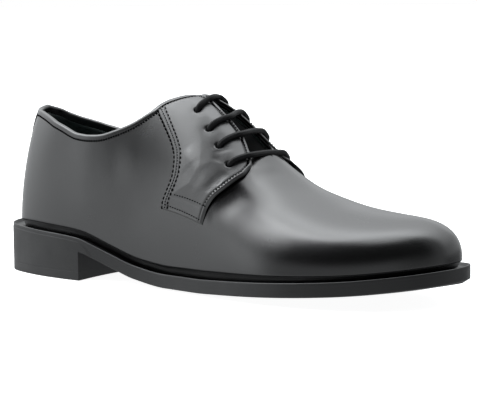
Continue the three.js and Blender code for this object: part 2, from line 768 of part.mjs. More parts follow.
// A cutter for one eyelet hole, along the surface's own normal.
function holeCutter(row, inner) {
  const station = inner ? 1 - row.eyeletAt : row.eyeletAt;
  const reach = FACING_OUT + UPPER_WALL;
  const from = offLast(station, row.eyeletUp, -reach);
  const to = offLast(station, row.eyeletUp, reach);
  const axis = to.clone().sub(from).normalize();
  const side = new THREE.Vector3(1, 0, 0).cross(axis).normalize();
  const other = axis.clone().cross(side);
  const shell = new Shell();
  const rings = [from, to].map((middle) => {
    const ring = [];
    for (let k = 0; k < HOLE_SIDES; k += 1) {
      const turn = (2 * Math.PI * k) / HOLE_SIDES;
      const point = middle.clone();
      point.addScaledVector(side, HOLE_RADIUS * Math.cos(turn));
      point.addScaledVector(other, HOLE_RADIUS * Math.sin(turn));
      ring.push(shell.add(point));
    }
    return ring;
  });
  joinRings(shell, rings[0], rings[1], true);
  for (let k = 1; k < HOLE_SIDES - 1; k += 1) {
    shell.tri(rings[0][0], rings[0][k + 1], rings[0][k]);
    shell.tri(rings[1][0], rings[1][k], rings[1][k + 1]);
  }
  return shell.manifold();
}

let upper = upperBody();
let facingOuter = facingBody(false);
let facingInner = facingBody(true);
for (const row of LACE) {
  const outerHole = holeCutter(row, false);
  const innerHole = holeCutter(row, true);
  upper = upper.subtract(outerHole).subtract(innerHole);
  facingOuter = facingOuter.subtract(outerHole);
  facingInner = facingInner.subtract(innerHole);
}

const liftTop = () => TOP_LIFT;
const heelFoot = () => TOP_LIFT + PLATE_GAP;
const heelHead = (x, share) => undersideZ(x, share) - PLATE_GAP;

addPart("outsole", outsoleBody(), 0x1c1c1e, 0.7);
addPart("heel_block", heelBody(0, heelFoot, heelHead), 0x1d1d1f, 0.7);
addPart("heel_top_lift", heelBody(LIFT_INSET, () => 0, liftTop), 0x161617, 0.8);
addPart("insole", insoleBody(), 0x4a4640, 0.9);
addPart("upper", upper, 0x151517, 0.35);
addPart("tongue", tongueBody(), 0x17171a, 0.5);
addPart("facing_outer", facingOuter, 0x1a1a1d, 0.35);
addPart("facing_inner", facingInner, 0x1a1a1d, 0.35);
LACE.forEach((row, index) => {
  addPart(`lace_bar_${index + 1}`, laceBar(row), 0x0e0e10, 0.8);
});

export default group;
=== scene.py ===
import math

import bmesh
import bpy
import numpy as np
from bpy.props import FloatProperty, FloatVectorProperty, IntProperty, PointerProperty
from mathutils import Matrix, Vector


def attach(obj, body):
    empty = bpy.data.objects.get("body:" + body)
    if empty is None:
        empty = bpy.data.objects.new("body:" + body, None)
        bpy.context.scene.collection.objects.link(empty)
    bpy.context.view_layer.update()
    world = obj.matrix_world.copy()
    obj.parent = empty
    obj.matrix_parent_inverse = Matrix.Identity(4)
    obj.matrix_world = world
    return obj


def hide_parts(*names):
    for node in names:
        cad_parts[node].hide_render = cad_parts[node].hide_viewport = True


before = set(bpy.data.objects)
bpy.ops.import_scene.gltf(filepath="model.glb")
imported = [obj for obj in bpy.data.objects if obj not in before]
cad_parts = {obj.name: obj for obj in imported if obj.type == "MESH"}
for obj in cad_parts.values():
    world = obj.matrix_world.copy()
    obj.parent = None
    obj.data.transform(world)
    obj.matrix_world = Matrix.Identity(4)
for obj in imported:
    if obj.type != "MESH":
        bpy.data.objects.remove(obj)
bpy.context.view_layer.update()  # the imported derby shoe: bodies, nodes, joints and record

bl_info = {
    "name": "Derby shoe",
    "version": (1, 0, 0),
    "blender": (4, 5, 0),
    "location": "View3D > Sidebar > Derby shoe",
    "description": "Leather, seams, lace and sole of a derby shoe around its solids",
    "category": "Add Mesh",
}

# All shapes are worked out in millimetres on the last, heel at 0 and toe along +X, then moved
# by HEEL_ORIGIN and scaled to metres when a piece is made.
MM = 0.001
HEEL_ORIGIN = 36.0
LENGTH = 306.0
BALL_WIDTH = 91.0
INSTEP_HEIGHT = 108.5
HEEL_SEAT = 21.2
SOLE_EDGE = 8.0
UPPER_WALL = 2.0
CURVED_GAP = 0.3
PLATE_GAP = 0.2
INSOLE_WALL = 2.5
TOP_LIFT = 5.0
HEEL_BREAST = 74.5
BREAST_HOLLOW = 2.5
FLAT_SHARE = 0.35
THROAT_CORNER = 0.2003
THROAT_END = 0.263
TOE = 0.5

# Sections from heel to toe: foot, outer, inner, top, wall, flare, roof, ledge.
SECTIONS = np.array((
    (0.0201, 0.000, 0.000, 0.196, 0.28, -0.006, 0.78, 0.060),
    (0.0354, 0.169, 0.165, 0.201, 0.30, -0.003, 0.75, 0.057),
    (0.0758, 0.257, 0.250, 0.219, 0.45, 0.025, 0.64, 0.056),
    (0.1503, 0.325, 0.311, 0.258, 0.59, 0.052, 0.61, 0.056),
    (0.2451, 0.355, 0.305, 0.317, 0.53, 0.048, 0.73, 0.054),
    (0.3431, 0.366, 0.277, 0.382, 0.46, 0.044, 0.80, 0.046),
    (0.4412, 0.388, 0.291, 0.454, 0.47, 0.049, 0.74, 0.047),
    (0.5392, 0.440, 0.357, 0.536, 0.48, 0.049, 0.66, 0.054),
    (0.6275, 0.495, 0.429, 0.614, 0.50, 0.042, 0.62, 0.055),
    (0.7059, 0.523, 0.470, 0.686, 0.54, 0.033, 0.62, 0.055),
    (0.7843, 0.505, 0.475, 0.752, 0.58, 0.027, 0.62, 0.055),
    (0.8562, 0.435, 0.440, 0.807, 0.62, 0.024, 0.62, 0.053),
    (0.9118, 0.330, 0.376, 0.846, 0.66, 0.022, 0.62, 0.051),
    (0.9510, 0.209, 0.291, 0.873, 0.70, 0.022, 0.62, 0.050),
    (0.9761, 0.079, 0.187, 0.887, 0.72, 0.022, 0.62, 0.050),
    (0.9850, -0.044, 0.044, 0.892, 0.72, 0.022, 0.62, 0.050),
))

# The ridge over instep and vamp: at, height, lean.
RIDGE = np.array((
    (0.131, 1.235, 0.000), (0.196, 1.207, 0.000), (0.255, 1.175, 0.000),
    (0.314, 1.129, 0.000), (0.382, 1.065, 0.000), (0.454, 1.000, 0.003),
    (0.500, 0.945, 0.007), (0.536, 0.877, 0.011), (0.575, 0.778, 0.014),
    (0.614, 0.678, 0.018), (0.654, 0.597, 0.021), (0.686, 0.549, 0.024),
    (0.725, 0.507, 0.028), (0.771, 0.470, 0.032), (0.824, 0.445, 0.036),
    (0.876, 0.432, 0.039), (0.931, 0.424, 0.042), (0.980, 0.418, 0.044),
))

# The underside along the shoe: at, edge, centre.
SOLE_LINE = np.array((
    (0.000, 1.000, 1.000), (0.120, 0.925, 0.925), (0.200, 0.872, 0.872),
    (0.240, 0.815, 0.815), (0.280, 0.650, 0.630), (0.330, 0.420, 0.385),
    (0.380, 0.212, 0.165), (0.460, 0.075, 0.000), (0.540, 0.085, 0.000), (0.600, 0.128, 0.000),
    (0.700, 0.217, 0.100), (0.780, 0.297, 0.190), (0.860, 0.387, 0.300),
    (0.930, 0.495, 0.430), (1.000, 0.623, 0.590),
))

# The upper's top edge: station, outer, inner.
TOPLINE = np.array((
    (0.0000, 0.549, 0.549), (0.0267, 0.538, 0.529), (0.0532, 0.511, 0.482),
    (0.0727, 0.474, 0.435), (0.0875, 0.440, 0.400), (0.0982, 0.417, 0.380),
    (0.1088, 0.405, 0.372), (0.1202, 0.397, 0.376), (0.1292, 0.407, 0.392),
    (0.1375, 0.428, 0.417), (0.1451, 0.457, 0.448), (0.1525, 0.496, 0.489),
    (0.1585, 0.530, 0.524), (0.1679, 0.593, 0.588), (0.1791, 0.703, 0.700),
    (0.1840, 0.764, 0.762), (0.1893, 0.820, 0.820), (0.1943, 0.876, 0.876),
    (0.2003, 0.935, 0.935), (0.2095, 0.925, 0.925), (0.2169, 0.915, 0.915),
    (0.2280, 0.885, 0.885), (0.2430, 0.862, 0.862), (0.2527, 0.840, 0.840),
    (0.2575, 0.870, 0.870), (0.2610, 0.960, 0.960),
))

# The facing from its bottom tab up: rear seam and front edge, each as station and share up,
# then how far the front edge stands off the vamp (share of OUTER_GAPE or INNER_GAPE), and how
# much further forward it lies on the inner side.
OUTER_GAPE = 1.2
INNER_GAPE = 4.0
GAPE_START = 0.7
FACING = np.array((
    (0.2010, 0.2575, 0.2364, 0.2448, 0.00, 0.0000), (0.2012, 0.2824, 0.2397, 0.3320, 0.35, 0.0020),
    (0.2036, 0.3314, 0.2442, 0.4000, 0.80, 0.0060), (0.2060, 0.3800, 0.2520, 0.4988, 1.00, 0.0090),
    (0.2070, 0.4181, 0.2575, 0.5900, 0.95, 0.0055), (0.2066, 0.4600, 0.2610, 0.6700, 0.65, 0.0010),
    (0.2050, 0.5050, 0.2614, 0.7350, 0.35, 0.0000), (0.2015, 0.5450, 0.2585, 0.7850, 0.00, 0.0000),
    (0.1970, 0.5830, 0.2540, 0.8200, 0.00, 0.0000), (0.1925, 0.6150, 0.2430, 0.8765, 0.00, 0.0000),
    (0.1890, 0.6400, 0.2280, 0.8975, 0.00, 0.0000), (0.1845, 0.6700, 0.2150, 0.9300, 0.00, 0.0000),
    (0.1800, 0.7100, 0.2025, 0.9480, 0.00, 0.0000),
))

# The tongue: station, and share up of its side edges.
TONGUE = np.array(((0.204, 0.69), (0.215, 0.66), (0.235, 0.66), (0.26, 0.68), (0.285, 0.74)))

# Lace bars from the top: eyelet, and where the bar passes the front edge.
LACE = np.array((
    (0.2117, 0.7880, 0.2130, 0.920), (0.2255, 0.7171, 0.2315, 0.880),
    (0.2365, 0.6724, 0.2440, 0.855), (0.2480, 0.6268, 0.2570, 0.785),
))
# The same on the inner side. The far ends of the bars are set by the photograph, so these
# eyelets lie up to 5.4 mm from the solid's.
INNER_LACE = np.array((
    (0.2122, 0.8150, 0.2090, 0.915), (0.2262, 0.7450, 0.2256, 0.866),
    (0.2398, 0.7000, 0.2415, 0.840), (0.2548, 0.6600, 0.2568, 0.785),
))

# Height of the facing's face over the quarter, by distance from its rear edge in mm: the
# heavy seam on the edge, the raised strip, the fine seam, the second heavy seam, the face.
REAR_PROFILE = np.array((
    (0.0, 0.05), (0.75, 0.08), (0.95, 0.72), (1.2, 0.98), (1.6, 1.10), (2.5, 1.26), (2.75, 1.16),
    (3.2, 1.14), (3.4, 1.24), (4.5, 1.42), (4.75, 1.30), (5.3, 1.28), (5.6, 1.46), (7.0, 1.62),
    (12.0, 2.15), (19.0, 2.75), (26.0, 2.95), (34.0, 2.85), (200.0, 2.80),
))
SEAM_HEAVY_REAR = 0.45
SEAM_FINE = 3.0
SEAM_HEAVY_FRONT = 5.1
FACE_LIFT = 2.35
BAND_WIDTH = 3.1

# Height over the last by distance from the front edge: the bound edge beside the eyelets, and
# the rolled edge further down.
BOUND_PROFILE = np.array((
    (0.0, 1.20), (0.15, 1.90), (0.5, 2.42), (1.1, 2.66), (1.7, 2.50), (2.0, 2.10), (2.15, 1.45),
    (2.65, 1.40), (2.85, 1.95), (3.2, 2.30), (200.0, 2.35),
))
ROLLED_PROFILE = np.array((
    (0.0, 0.40), (0.15, 0.95), (0.45, 1.55), (0.9, 2.00), (1.4, 2.22), (2.0, 2.25), (2.4, 2.10),
    (2.6, 1.95), (2.8, 2.08), (3.4, 2.30), (200.0, 2.35),
))


# Curves
class NaturalSpline:
    """Smooth cubic through a table, free at its ends."""

    def __init__(self, xs, ys):
        self.xs, self.ys = np.asarray(xs, float), np.asarray(ys, float)
        count = len(self.xs)
        gaps = np.diff(self.xs)
        rise = np.diff(self.ys) / gaps
        system = np.eye(count)
        target = np.zeros(count)
        for i in range(1, count - 1):
            system[i, i - 1:i + 2] = gaps[i - 1], 2 * (gaps[i - 1] + gaps[i]), gaps[i]
            target[i] = 6 * (rise[i] - rise[i - 1])
        self.bend = np.linalg.solve(system, target)

    def __call__(self, at):
        at = np.asarray(at, float)
        i = np.clip(np.searchsorted(self.xs, at) - 1, 0, len(self.xs) - 2)
        width = self.xs[i + 1] - self.xs[i]
        a, b = (self.xs[i + 1] - at) / width, (at - self.xs[i]) / width
        cubic = (a ** 3 - a) * self.bend[i] + (b ** 3 - b) * self.bend[i + 1]
        return a * self.ys[i] + b * self.ys[i + 1] + cubic * width * width / 6


class SteadySpline:
    """Cubic through a table that never overshoots it."""

    def __init__(self, xs, ys):
        self.xs, self.ys = np.asarray(xs, float), np.asarray(ys, float)
        gaps = np.diff(self.xs)
        rise = np.diff(self.ys) / gaps
        slope = np.zeros(len(self.xs))
        slope[0], slope[-1] = rise[0], rise[-1]
        for i in range(1, len(self.xs) - 1):
            if rise[i - 1] * rise[i] > 0:
                first = 2 * gaps[i] + gaps[i - 1]
                second = gaps[i] + 2 * gaps[i - 1]
                slope[i] = (first + second) / (first / rise[i - 1] + second / rise[i])
        self.slope = slope

    def __call__(self, at):
        at = np.clip(np.asarray(at, float), self.xs[0], self.xs[-1])
        i = np.clip(np.searchsorted(self.xs, at) - 1, 0, len(self.xs) - 2)
        width = self.xs[i + 1] - self.xs[i]
        u = (at - self.xs[i]) / width
        start = (1 + 2 * u) * (1 - u) ** 2 * self.ys[i] + u * (1 - u) ** 2 * width * self.slope[i]
        end = u * u * (3 - 2 * u) * self.ys[i + 1] + u * u * (u - 1) * width * self.slope[i + 1]
        return start + end


def ring_column(outer, inner):
    """A value once around the shoe: outer side to the toe, inner side back."""
    ring = np.concatenate([outer, inner[-2:0:-1]])
    count, wrap = len(ring), 4
    at = np.arange(-wrap, count + wrap)
    curve = NaturalSpline(at / count, ring[at % count])
    return lambda station: curve(np.asarray(station) - np.floor(station))


def same_column(index, scale):
    return ring_column(SECTIONS[:, index] * scale, SECTIONS[:, index] * scale)


foot_x = same_column(0, LENGTH)
foot_y = ring_column(-SECTIONS[:, 1] * BALL_WIDTH, SECTIONS[:, 2] * BALL_WIDTH)
top_x = same_column(3, LENGTH)
wall_share = same_column(4, 1.0)
flare_out = same_column(5, BALL_WIDTH)
roof_share = same_column(6, 1.0)
ledge_out = same_column(7, BALL_WIDTH)
ridge_z = NaturalSpline(RIDGE[:, 0] * LENGTH, RIDGE[:, 1] * INSTEP_HEIGHT)
ridge_y = NaturalSpline(RIDGE[:, 0] * LENGTH, RIDGE[:, 2] * BALL_WIDTH)
sole_edge_z = SteadySpline(SOLE_LINE[:, 0] * LENGTH, SOLE_LINE[:, 1] * HEEL_SEAT)
sole_centre_z = SteadySpline(SOLE_LINE[:, 0] * LENGTH, SOLE_LINE[:, 2] * HEEL_SEAT)
outer_top = SteadySpline(TOPLINE[:, 0], TOPLINE[:, 1])
inner_top = SteadySpline(TOPLINE[:, 0], TOPLINE[:, 2])
facing_row = np.linspace(0, 1, len(FACING))
rear_at, rear_up, front_at, front_up, gape_share, inner_reach = [
    SteadySpline(facing_row, FACING[:, k]) for k in range(6)]
tongue_side = SteadySpline(TONGUE[:, 0], TONGUE[:, 1])


def upper_foot_z(x):
    return sole_edge_z(x) + SOLE_EDGE + CURVED_GAP


def ridge_slope(x):
    return ridge_z(x + 0.5) - ridge_z(x - 0.5)


def last_point(station, up):
    """A point on the last's outside: station once around, up from sole (0) to ridge (1)."""
    station, up = np.broadcast_arrays(np.asarray(station, float), np.asarray(up, float))
    x = foot_x(station)
    foot = np.stack([x, foot_y(station), upper_foot_z(x)], -1)
    at = top_x(station)
    top = np.stack([at, ridge_y(at), ridge_z(at)], -1)
    reach = top - foot
    rise = reach[..., 2].copy()
    reach[..., 2] = 0
    outward = -reach / np.linalg.norm(reach, axis=-1, keepdims=True)
    upright = foot + outward * flare_out(station)[..., None]
    upright[..., 2] += wall_share(station) * rise
    level = top - reach * roof_share(station)[..., None]
    level[..., 2] -= roof_share(station) * reach[..., 0] * ridge_slope(at)
    u = up[..., None]
    rest = 1 - u
    return foot * rest ** 3 + upright * 3 * u * rest ** 2 + level * 3 * u * u * rest + top * u ** 3


NUDGE = 0.0008


def last_normal(station, up):
    station, up = np.broadcast_arrays(np.asarray(station, float), np.asarray(up, float))
    along = last_point(station + NUDGE, up) - last_point(station - NUDGE, up)
    above, below = np.minimum(up + NUDGE, 1), np.maximum(up - NUDGE, 0)
    across = last_point(station, above) - last_point(station, below)
    normal = np.cross(along, across)
    normal /= np.linalg.norm(normal, axis=-1, keepdims=True) + 1e-12
    slope = ridge_slope(top_x(station))
    crest = np.stack([-slope, np.zeros_like(slope), np.ones_like(slope)], -1)
    crest /= np.linalg.norm(crest, axis=-1, keepdims=True)
    return np.where((up > 0.999)[..., None], crest, normal)


def off_last(station, up, out):
    out = np.broadcast_to(np.asarray(out, float), np.broadcast(station, up).shape)
    return last_point(station, up) + last_normal(station, up) * out[..., None]


def walk(station, up, move):
    """Station and share up after a step over the last, given as a vector in mm."""
    station, up = np.array(station, float), np.array(up, float)
    steps = 4
    for _ in range(steps):
        along = (last_point(station + NUDGE, up) - last_point(station - NUDGE, up)) / (2 * NUDGE)
        across = (last_point(station, up + NUDGE) - last_point(station, up - NUDGE)) / (2 * NUDGE)
        a, b, c = [(p * q).sum(-1) for p, q in ((along, along), (along, across), (across, across))]
        u, v = (move / steps * along).sum(-1), (move / steps * across).sum(-1)
        size = a * c - b * b
        station += (c * u - b * v) / size
        up += (a * v - b * u) / size
    return station, up


def foot_outline(station, out):
    dx = foot_x(station + NUDGE) - foot_x(station - NUDGE)
    dy = foot_y(station + NUDGE) - foot_y(station - NUDGE)
    size = np.hypot(dx, dy)
    return foot_x(station) + dy / size * out, foot_y(station) - dx / size * out


def underside_z(x, share):
    past = np.maximum(0, (share - FLAT_SHARE) / (1 - FLAT_SHARE))
    return sole_centre_z(x) + (sole_edge_z(x) - sole_centre_z(x)) * past * past


def smooth_step(low, high, value):
    u = np.clip((np.asarray(value, float) - low) / (high - low), 0, 1)
    return u * u * (3 - 2 * u)


def to_line(points, line):
    """Distance of each point from a polyline, and how far along it (0 to 1) it is nearest."""
    flat = points.reshape(-1, 3)
    best = np.full(len(flat), 1e9)
    where = np.zeros(len(flat))
    count = len(line) - 1
    for k in range(count):
        start, step = line[k], line[k + 1] - line[k]
        u = np.clip(((flat - start) @ step) / max(step @ step, 1e-12), 0, 1)
        gap = np.linalg.norm(flat - start - u[:, None] * step, axis=1)
        near = gap < best
        best[near] = gap[near]
        where[near] = (k + u[near]) / count
    return best.reshape(points.shape[:-1]), where.reshape(points.shape[:-1])


def bend_through(places, count):
    """A smooth list of stations and shares through a few given ones."""
    places = np.asarray(places, float)
    at = np.linspace(0, 1, len(places))
    fine = np.linspace(0, 1, count)
    if len(places) < 3:
        return np.interp(fine, at, places[:, 0]), np.interp(fine, at, places[:, 1])
    return NaturalSpline(at, places[:, 0])(fine), NaturalSpline(at, places[:, 1])(fine)


def fold_relief(points, folds):
    """Height that a list of soft ridges (plus) and troughs (minus) adds to a surface."""
    total = np.zeros(points.shape[:-1])
    for width, height, places in folds:
        station, up = bend_through(places, 18)
        gap, where = to_line(points, last_point(station, up))
        ends = smooth_step(0, 0.25, where) * smooth_step(1, 0.75, where)
        total += height * ends * np.exp(-(gap / width) ** 2)
    return total


# Pieces from patches
def grid_faces(rows, columns, closed, start):
    i, j = np.meshgrid(np.arange(rows - 1), np.arange(columns if closed else columns - 1), indexing="ij")
    after = (j + 1) % columns
    quads = np.stack([i * columns + j, i * columns + after, (i + 1) * columns + after,
                      (i + 1) * columns + j], -1)
    return quads.reshape(-1, 4) + start


def make_piece(name, patches, material, sharp=None):
    """One closed mesh from grids of points in last millimetres. A patch is a grid, or a grid
    and True where its columns run once around."""
    points, faces, start = [], [], 0
    for patch in patches:
        grid, closed = patch if isinstance(patch, tuple) else (patch, False)
        points.append(grid.reshape(-1, 3))
        faces.append(grid_faces(grid.shape[0], grid.shape[1], closed, start))
        start += grid.shape[0] * grid.shape[1]
    where = (np.concatenate(points) - (HEEL_ORIGIN, 0, 0)) * MM
    mesh = bpy.data.meshes.new(name)
    mesh.from_pydata(where.tolist(), [], np.concatenate(faces).tolist())
    shell = bmesh.new()
    shell.from_mesh(mesh)
    bmesh.ops.remove_doubles(shell, verts=shell.verts, dist=1e-6)
    bmesh.ops.dissolve_degenerate(shell, edges=shell.edges, dist=1e-7)
    bmesh.ops.recalc_face_normals(shell, faces=shell.faces)
    if shell.calc_volume(signed=True) < 0:
        bmesh.ops.reverse_faces(shell, faces=shell.faces)
    shell.to_mesh(mesh)
    shell.free()
    mesh.polygons.foreach_set("use_smooth", np.ones(len(mesh.polygons), bool))
    if sharp is not None:
        mesh.set_sharp_from_angle(angle=math.radians(sharp))
    return show_piece(name, mesh, material)


def show_piece(name, mesh, material):
    mesh.materials.clear()
    mesh.materials.append(material)
    mesh.update()
    piece = bpy.data.objects.new(name, mesh)
    bpy.context.scene.collection.objects.link(piece)
    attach(piece, "root")
    return piece


def vertex_places(mesh):
    where = np.empty(len(mesh.vertices) * 3)
    mesh.vertices.foreach_get("co", where)
    return where.reshape(-1, 3) / MM + (HEEL_ORIGIN, 0, 0)


def give_band(piece, height_of):
    """Stores how far up the sole's edge each point is, for the moulding lines."""
    where = vertex_places(piece.data)
    band = piece.data.attributes.new("band", "FLOAT", "POINT")
    band.data.foreach_set("value", height_of(where).astype(np.float32))


# Shader helpers
def link(tree, source, target):
    tree.links.new(source, target)


def node(tree, kind, **settings):
    made = tree.nodes.new(kind)
    for key, value in settings.items():
        setattr(made, key, value)
    return made


def feed(tree, target, value):
    """Gives an input a plain number, or links it to a socket."""
    if isinstance(value, (int, float)):
        target.default_value = value
    else:
        link(tree, value, target)


def math_node(tree, operation, first, second=None):
    made = node(tree, "ShaderNodeMath", operation=operation)
    for index, value in enumerate((first, second)):
        if value is not None:
            feed(tree, made.inputs[index], value)
    return made.outputs[0]


def noise(tree, where, scale, detail=3.0, rough=0.55):
    made = node(tree, "ShaderNodeTexNoise")
    link(tree, where, made.inputs["Vector"])
    feed(tree, made.inputs["Scale"], scale)
    made.inputs["Detail"].default_value = detail
    made.inputs["Roughness"].default_value = rough
    return made.outputs["Fac"]


def remap(tree, value, low, high, to_low, to_high):
    made = node(tree, "ShaderNodeMapRange")
    for key, given in (("Value", value), ("From Min", low), ("From Max", high), ("To Min", to_low),
                       ("To Max", to_high)):
        feed(tree, made.inputs[key], given)
    return made.outputs["Result"]


COLOUR_A, COLOUR_B, COLOUR_OUT = 6, 7, 2


def mix_colour(tree, share, first, second):
    made = node(tree, "ShaderNodeMix", data_type="RGBA")
    for key, value in (("Factor", share), (COLOUR_A, first), (COLOUR_B, second)):
        link(tree, value, made.inputs[key])
    return made.outputs[COLOUR_OUT]


def new_group(name, inputs, outputs):
    tree = bpy.data.node_groups.new(name, "ShaderNodeTree")
    for label, kind, default in inputs:
        socket = tree.interface.new_socket(label, in_out="INPUT", socket_type=kind)
        socket.default_value = default
    for label, kind in outputs:
        tree.interface.new_socket(label, in_out="OUTPUT", socket_type=kind)
    return tree, node(tree, "NodeGroupInput"), node(tree, "NodeGroupOutput")


FLOAT, COLOUR = "NodeSocketFloat", "NodeSocketColor"


def calf_group():
    """Smooth polished calf: fine pores, slow mottling, and faint rubs."""
    tree, given, made = new_group("calf_grain", (
        ("Colour", COLOUR, (0.02, 0.02, 0.02, 1)), ("Rub colour", COLOUR, (0.1, 0.1, 0.1, 1)),
        ("Smooth", FLOAT, 0.3), ("Dull", FLOAT, 0.4), ("Pores", FLOAT, 1800.0),
        ("Waves", FLOAT, 220.0), ("Wave share", FLOAT, 0.4), ("Rubs", FLOAT, 0.2),
    ), (("Colour", COLOUR), ("Roughness", FLOAT), ("Height", FLOAT)))
    where = node(tree, "ShaderNodeTexCoord").outputs["Object"]
    pores = noise(tree, where, given.outputs["Pores"], 4.0, 0.6)
    cells = node(tree, "ShaderNodeTexVoronoi", feature="SMOOTH_F1")
    link(tree, where, cells.inputs["Vector"])
    link(tree, given.outputs["Pores"], cells.inputs["Scale"])
    waves = noise(tree, where, given.outputs["Waves"], 2.0, 0.45)
    slow = noise(tree, where, 38.0, 3.0, 0.5)
    specks = noise(tree, where, 900.0, 1.0, 0.5)
    rubbed = math_node(tree, "MULTIPLY", remap(tree, specks, 0.76, 0.8, 0.0, 1.0),
                       remap(tree, slow, 0.52, 0.7, 0.0, given.outputs["Rubs"]))
    toned = mix_colour(tree, remap(tree, slow, 0.3, 0.7, 0.0, 0.35), given.outputs["Colour"],
                       given.outputs["Rub colour"])
    link(tree, mix_colour(tree, rubbed, toned, given.outputs["Rub colour"]), made.inputs["Colour"])
    rough = remap(tree, slow, 0.3, 0.7, given.outputs["Smooth"], given.outputs["Dull"])
    link(tree, math_node(tree, "ADD", rough, math_node(tree, "MULTIPLY", pores, 0.06)),
         made.inputs["Roughness"])
    fine = math_node(tree, "ADD", math_node(tree, "MULTIPLY", pores, 0.5),
                     math_node(tree, "MULTIPLY", cells.outputs["Distance"], 0.35))
    broad = math_node(tree, "MULTIPLY", waves, given.outputs["Wave share"])
    link(tree, math_node(tree, "ADD", fine, broad), made.inputs["Height"])
    return tree


def moulded_group():
    """Moulded rubber: lines along the edge, a dull film, and fine pitting."""
    tree, given, made = new_group("moulded_rubber", (
        ("Colour", COLOUR, (0.02, 0.02, 0.02, 1)), ("Dust", COLOUR, (0.1, 0.1, 0.1, 1)),
        ("Smooth", FLOAT, 0.4), ("Dull", FLOAT, 0.6), ("Lines", FLOAT, 2.2),
        ("Line share", FLOAT, 0.5),
    ), (("Colour", COLOUR), ("Roughness", FLOAT), ("Height", FLOAT)))
    where = node(tree, "ShaderNodeTexCoord").outputs["Object"]
    band = node(tree, "ShaderNodeAttribute", attribute_name="band").outputs["Fac"]
    parts = node(tree, "ShaderNodeSeparateXYZ")
    link(tree, where, parts.inputs[0])
    joined = node(tree, "ShaderNodeCombineXYZ")
    link(tree, math_node(tree, "MULTIPLY", parts.outputs["X"], 14.0), joined.inputs[0])
    link(tree, math_node(tree, "MULTIPLY", parts.outputs["Y"], 14.0), joined.inputs[1])
    link(tree, math_node(tree, "MULTIPLY", band, given.outputs["Lines"]), joined.inputs[2])
    lines = noise(tree, joined.outputs[0], 1.0, 3.0, 0.6)
    pits = noise(tree, where, 2600.0, 2.0, 0.5)
    slow = noise(tree, where, 55.0, 3.0, 0.55)
    toned = mix_colour(tree, remap(tree, slow, 0.35, 0.7, 0.0, 0.4), given.outputs["Colour"],
                       given.outputs["Dust"])
    lined = mix_colour(tree, remap(tree, lines, 0.45, 0.7, 0.0, 0.3), toned, given.outputs["Dust"])
    link(tree, lined, made.inputs["Colour"])
    link(tree, remap(tree, slow, 0.3, 0.7, given.outputs["Smooth"], given.outputs["Dull"]),
         made.inputs["Roughness"])
    link(tree, math_node(tree, "ADD", math_node(tree, "MULTIPLY", lines, given.outputs["Line share"]),
                         math_node(tree, "MULTIPLY", pits, 0.25)), made.inputs["Height"])
    return tree


def nap_group():
    """Sueded leather or felt: short fibres brushed in patches."""
    tree, given, made = new_group("sueded_nap", (
        ("Colour", COLOUR, (0.03, 0.04, 0.04, 1)), ("Brushed", COLOUR, (0.06, 0.07, 0.07, 1)),
        ("Fibre", FLOAT, 1400.0),
    ), (("Colour", COLOUR), ("Roughness", FLOAT), ("Height", FLOAT)))
    where = node(tree, "ShaderNodeTexCoord").outputs["Object"]
    fibre = noise(tree, where, given.outputs["Fibre"], 5.0, 0.7)
    patches = noise(tree, where, 160.0, 4.0, 0.6)
    share = math_node(tree, "ADD", math_node(tree, "MULTIPLY", fibre, 0.5),
                      math_node(tree, "MULTIPLY", patches, 0.5))
    link(tree, mix_colour(tree, remap(tree, share, 0.38, 0.62, 0.0, 1.0), given.outputs["Colour"],
                          given.outputs["Brushed"]), made.inputs["Colour"])
    link(tree, remap(tree, patches, 0.3, 0.7, 0.82, 0.96), made.inputs["Roughness"])
    link(tree, share, made.inputs["Height"])
    return tree


def braid_group():
    """Round waxed lace, braided from eight flat strands, on the lace's own UV in mm."""
    tree, given, made = new_group("waxed_braid", (
        ("Colour", COLOUR, (0.01, 0.01, 0.01, 1)), ("Lit crowns", COLOUR, (0.05, 0.05, 0.05, 1)),
        ("Pitch", FLOAT, 1.1), ("Strands", FLOAT, 4.0),
    ), (("Colour", COLOUR), ("Roughness", FLOAT), ("Height", FLOAT)))
    parts = node(tree, "ShaderNodeSeparateXYZ")
    link(tree, node(tree, "ShaderNodeTexCoord").outputs["UV"], parts.inputs[0])
    along = math_node(tree, "DIVIDE", parts.outputs["X"], given.outputs["Pitch"])
    around = math_node(tree, "MULTIPLY", parts.outputs["Y"], given.outputs["Strands"])
    turn = 2 * math.pi
    right, left = [
        math_node(tree, "SINE", math_node(tree, "MULTIPLY", math_node(tree, lean, along, around), turn))
        for lean in ("ADD", "SUBTRACT")]
    weave = math_node(tree, "MULTIPLY", right, left)
    height = remap(tree, weave, -1.0, 1.0, 0.0, 1.0)
    where = node(tree, "ShaderNodeTexCoord").outputs["Object"]
    fuzz = noise(tree, where, 2200.0, 3.0, 0.6)
    # The colour follows the weave's height: painted shade darkens the gaps between strands, and painted
    # light brightens their crowns.
    link(tree, mix_colour(tree, height, given.outputs["Colour"], given.outputs["Lit crowns"]),
         made.inputs["Colour"])
    link(tree, remap(tree, fuzz, 0.3, 0.7, 0.5, 0.68), made.inputs["Roughness"])
    link(tree, math_node(tree, "ADD", height, math_node(tree, "MULTIPLY", fuzz, 0.3)),
         made.inputs["Height"])
    return tree


GROUPS = {}


def shared_group(builder):
    if builder.__name__ not in GROUPS:
        GROUPS[builder.__name__] = builder()
    return GROUPS[builder.__name__]


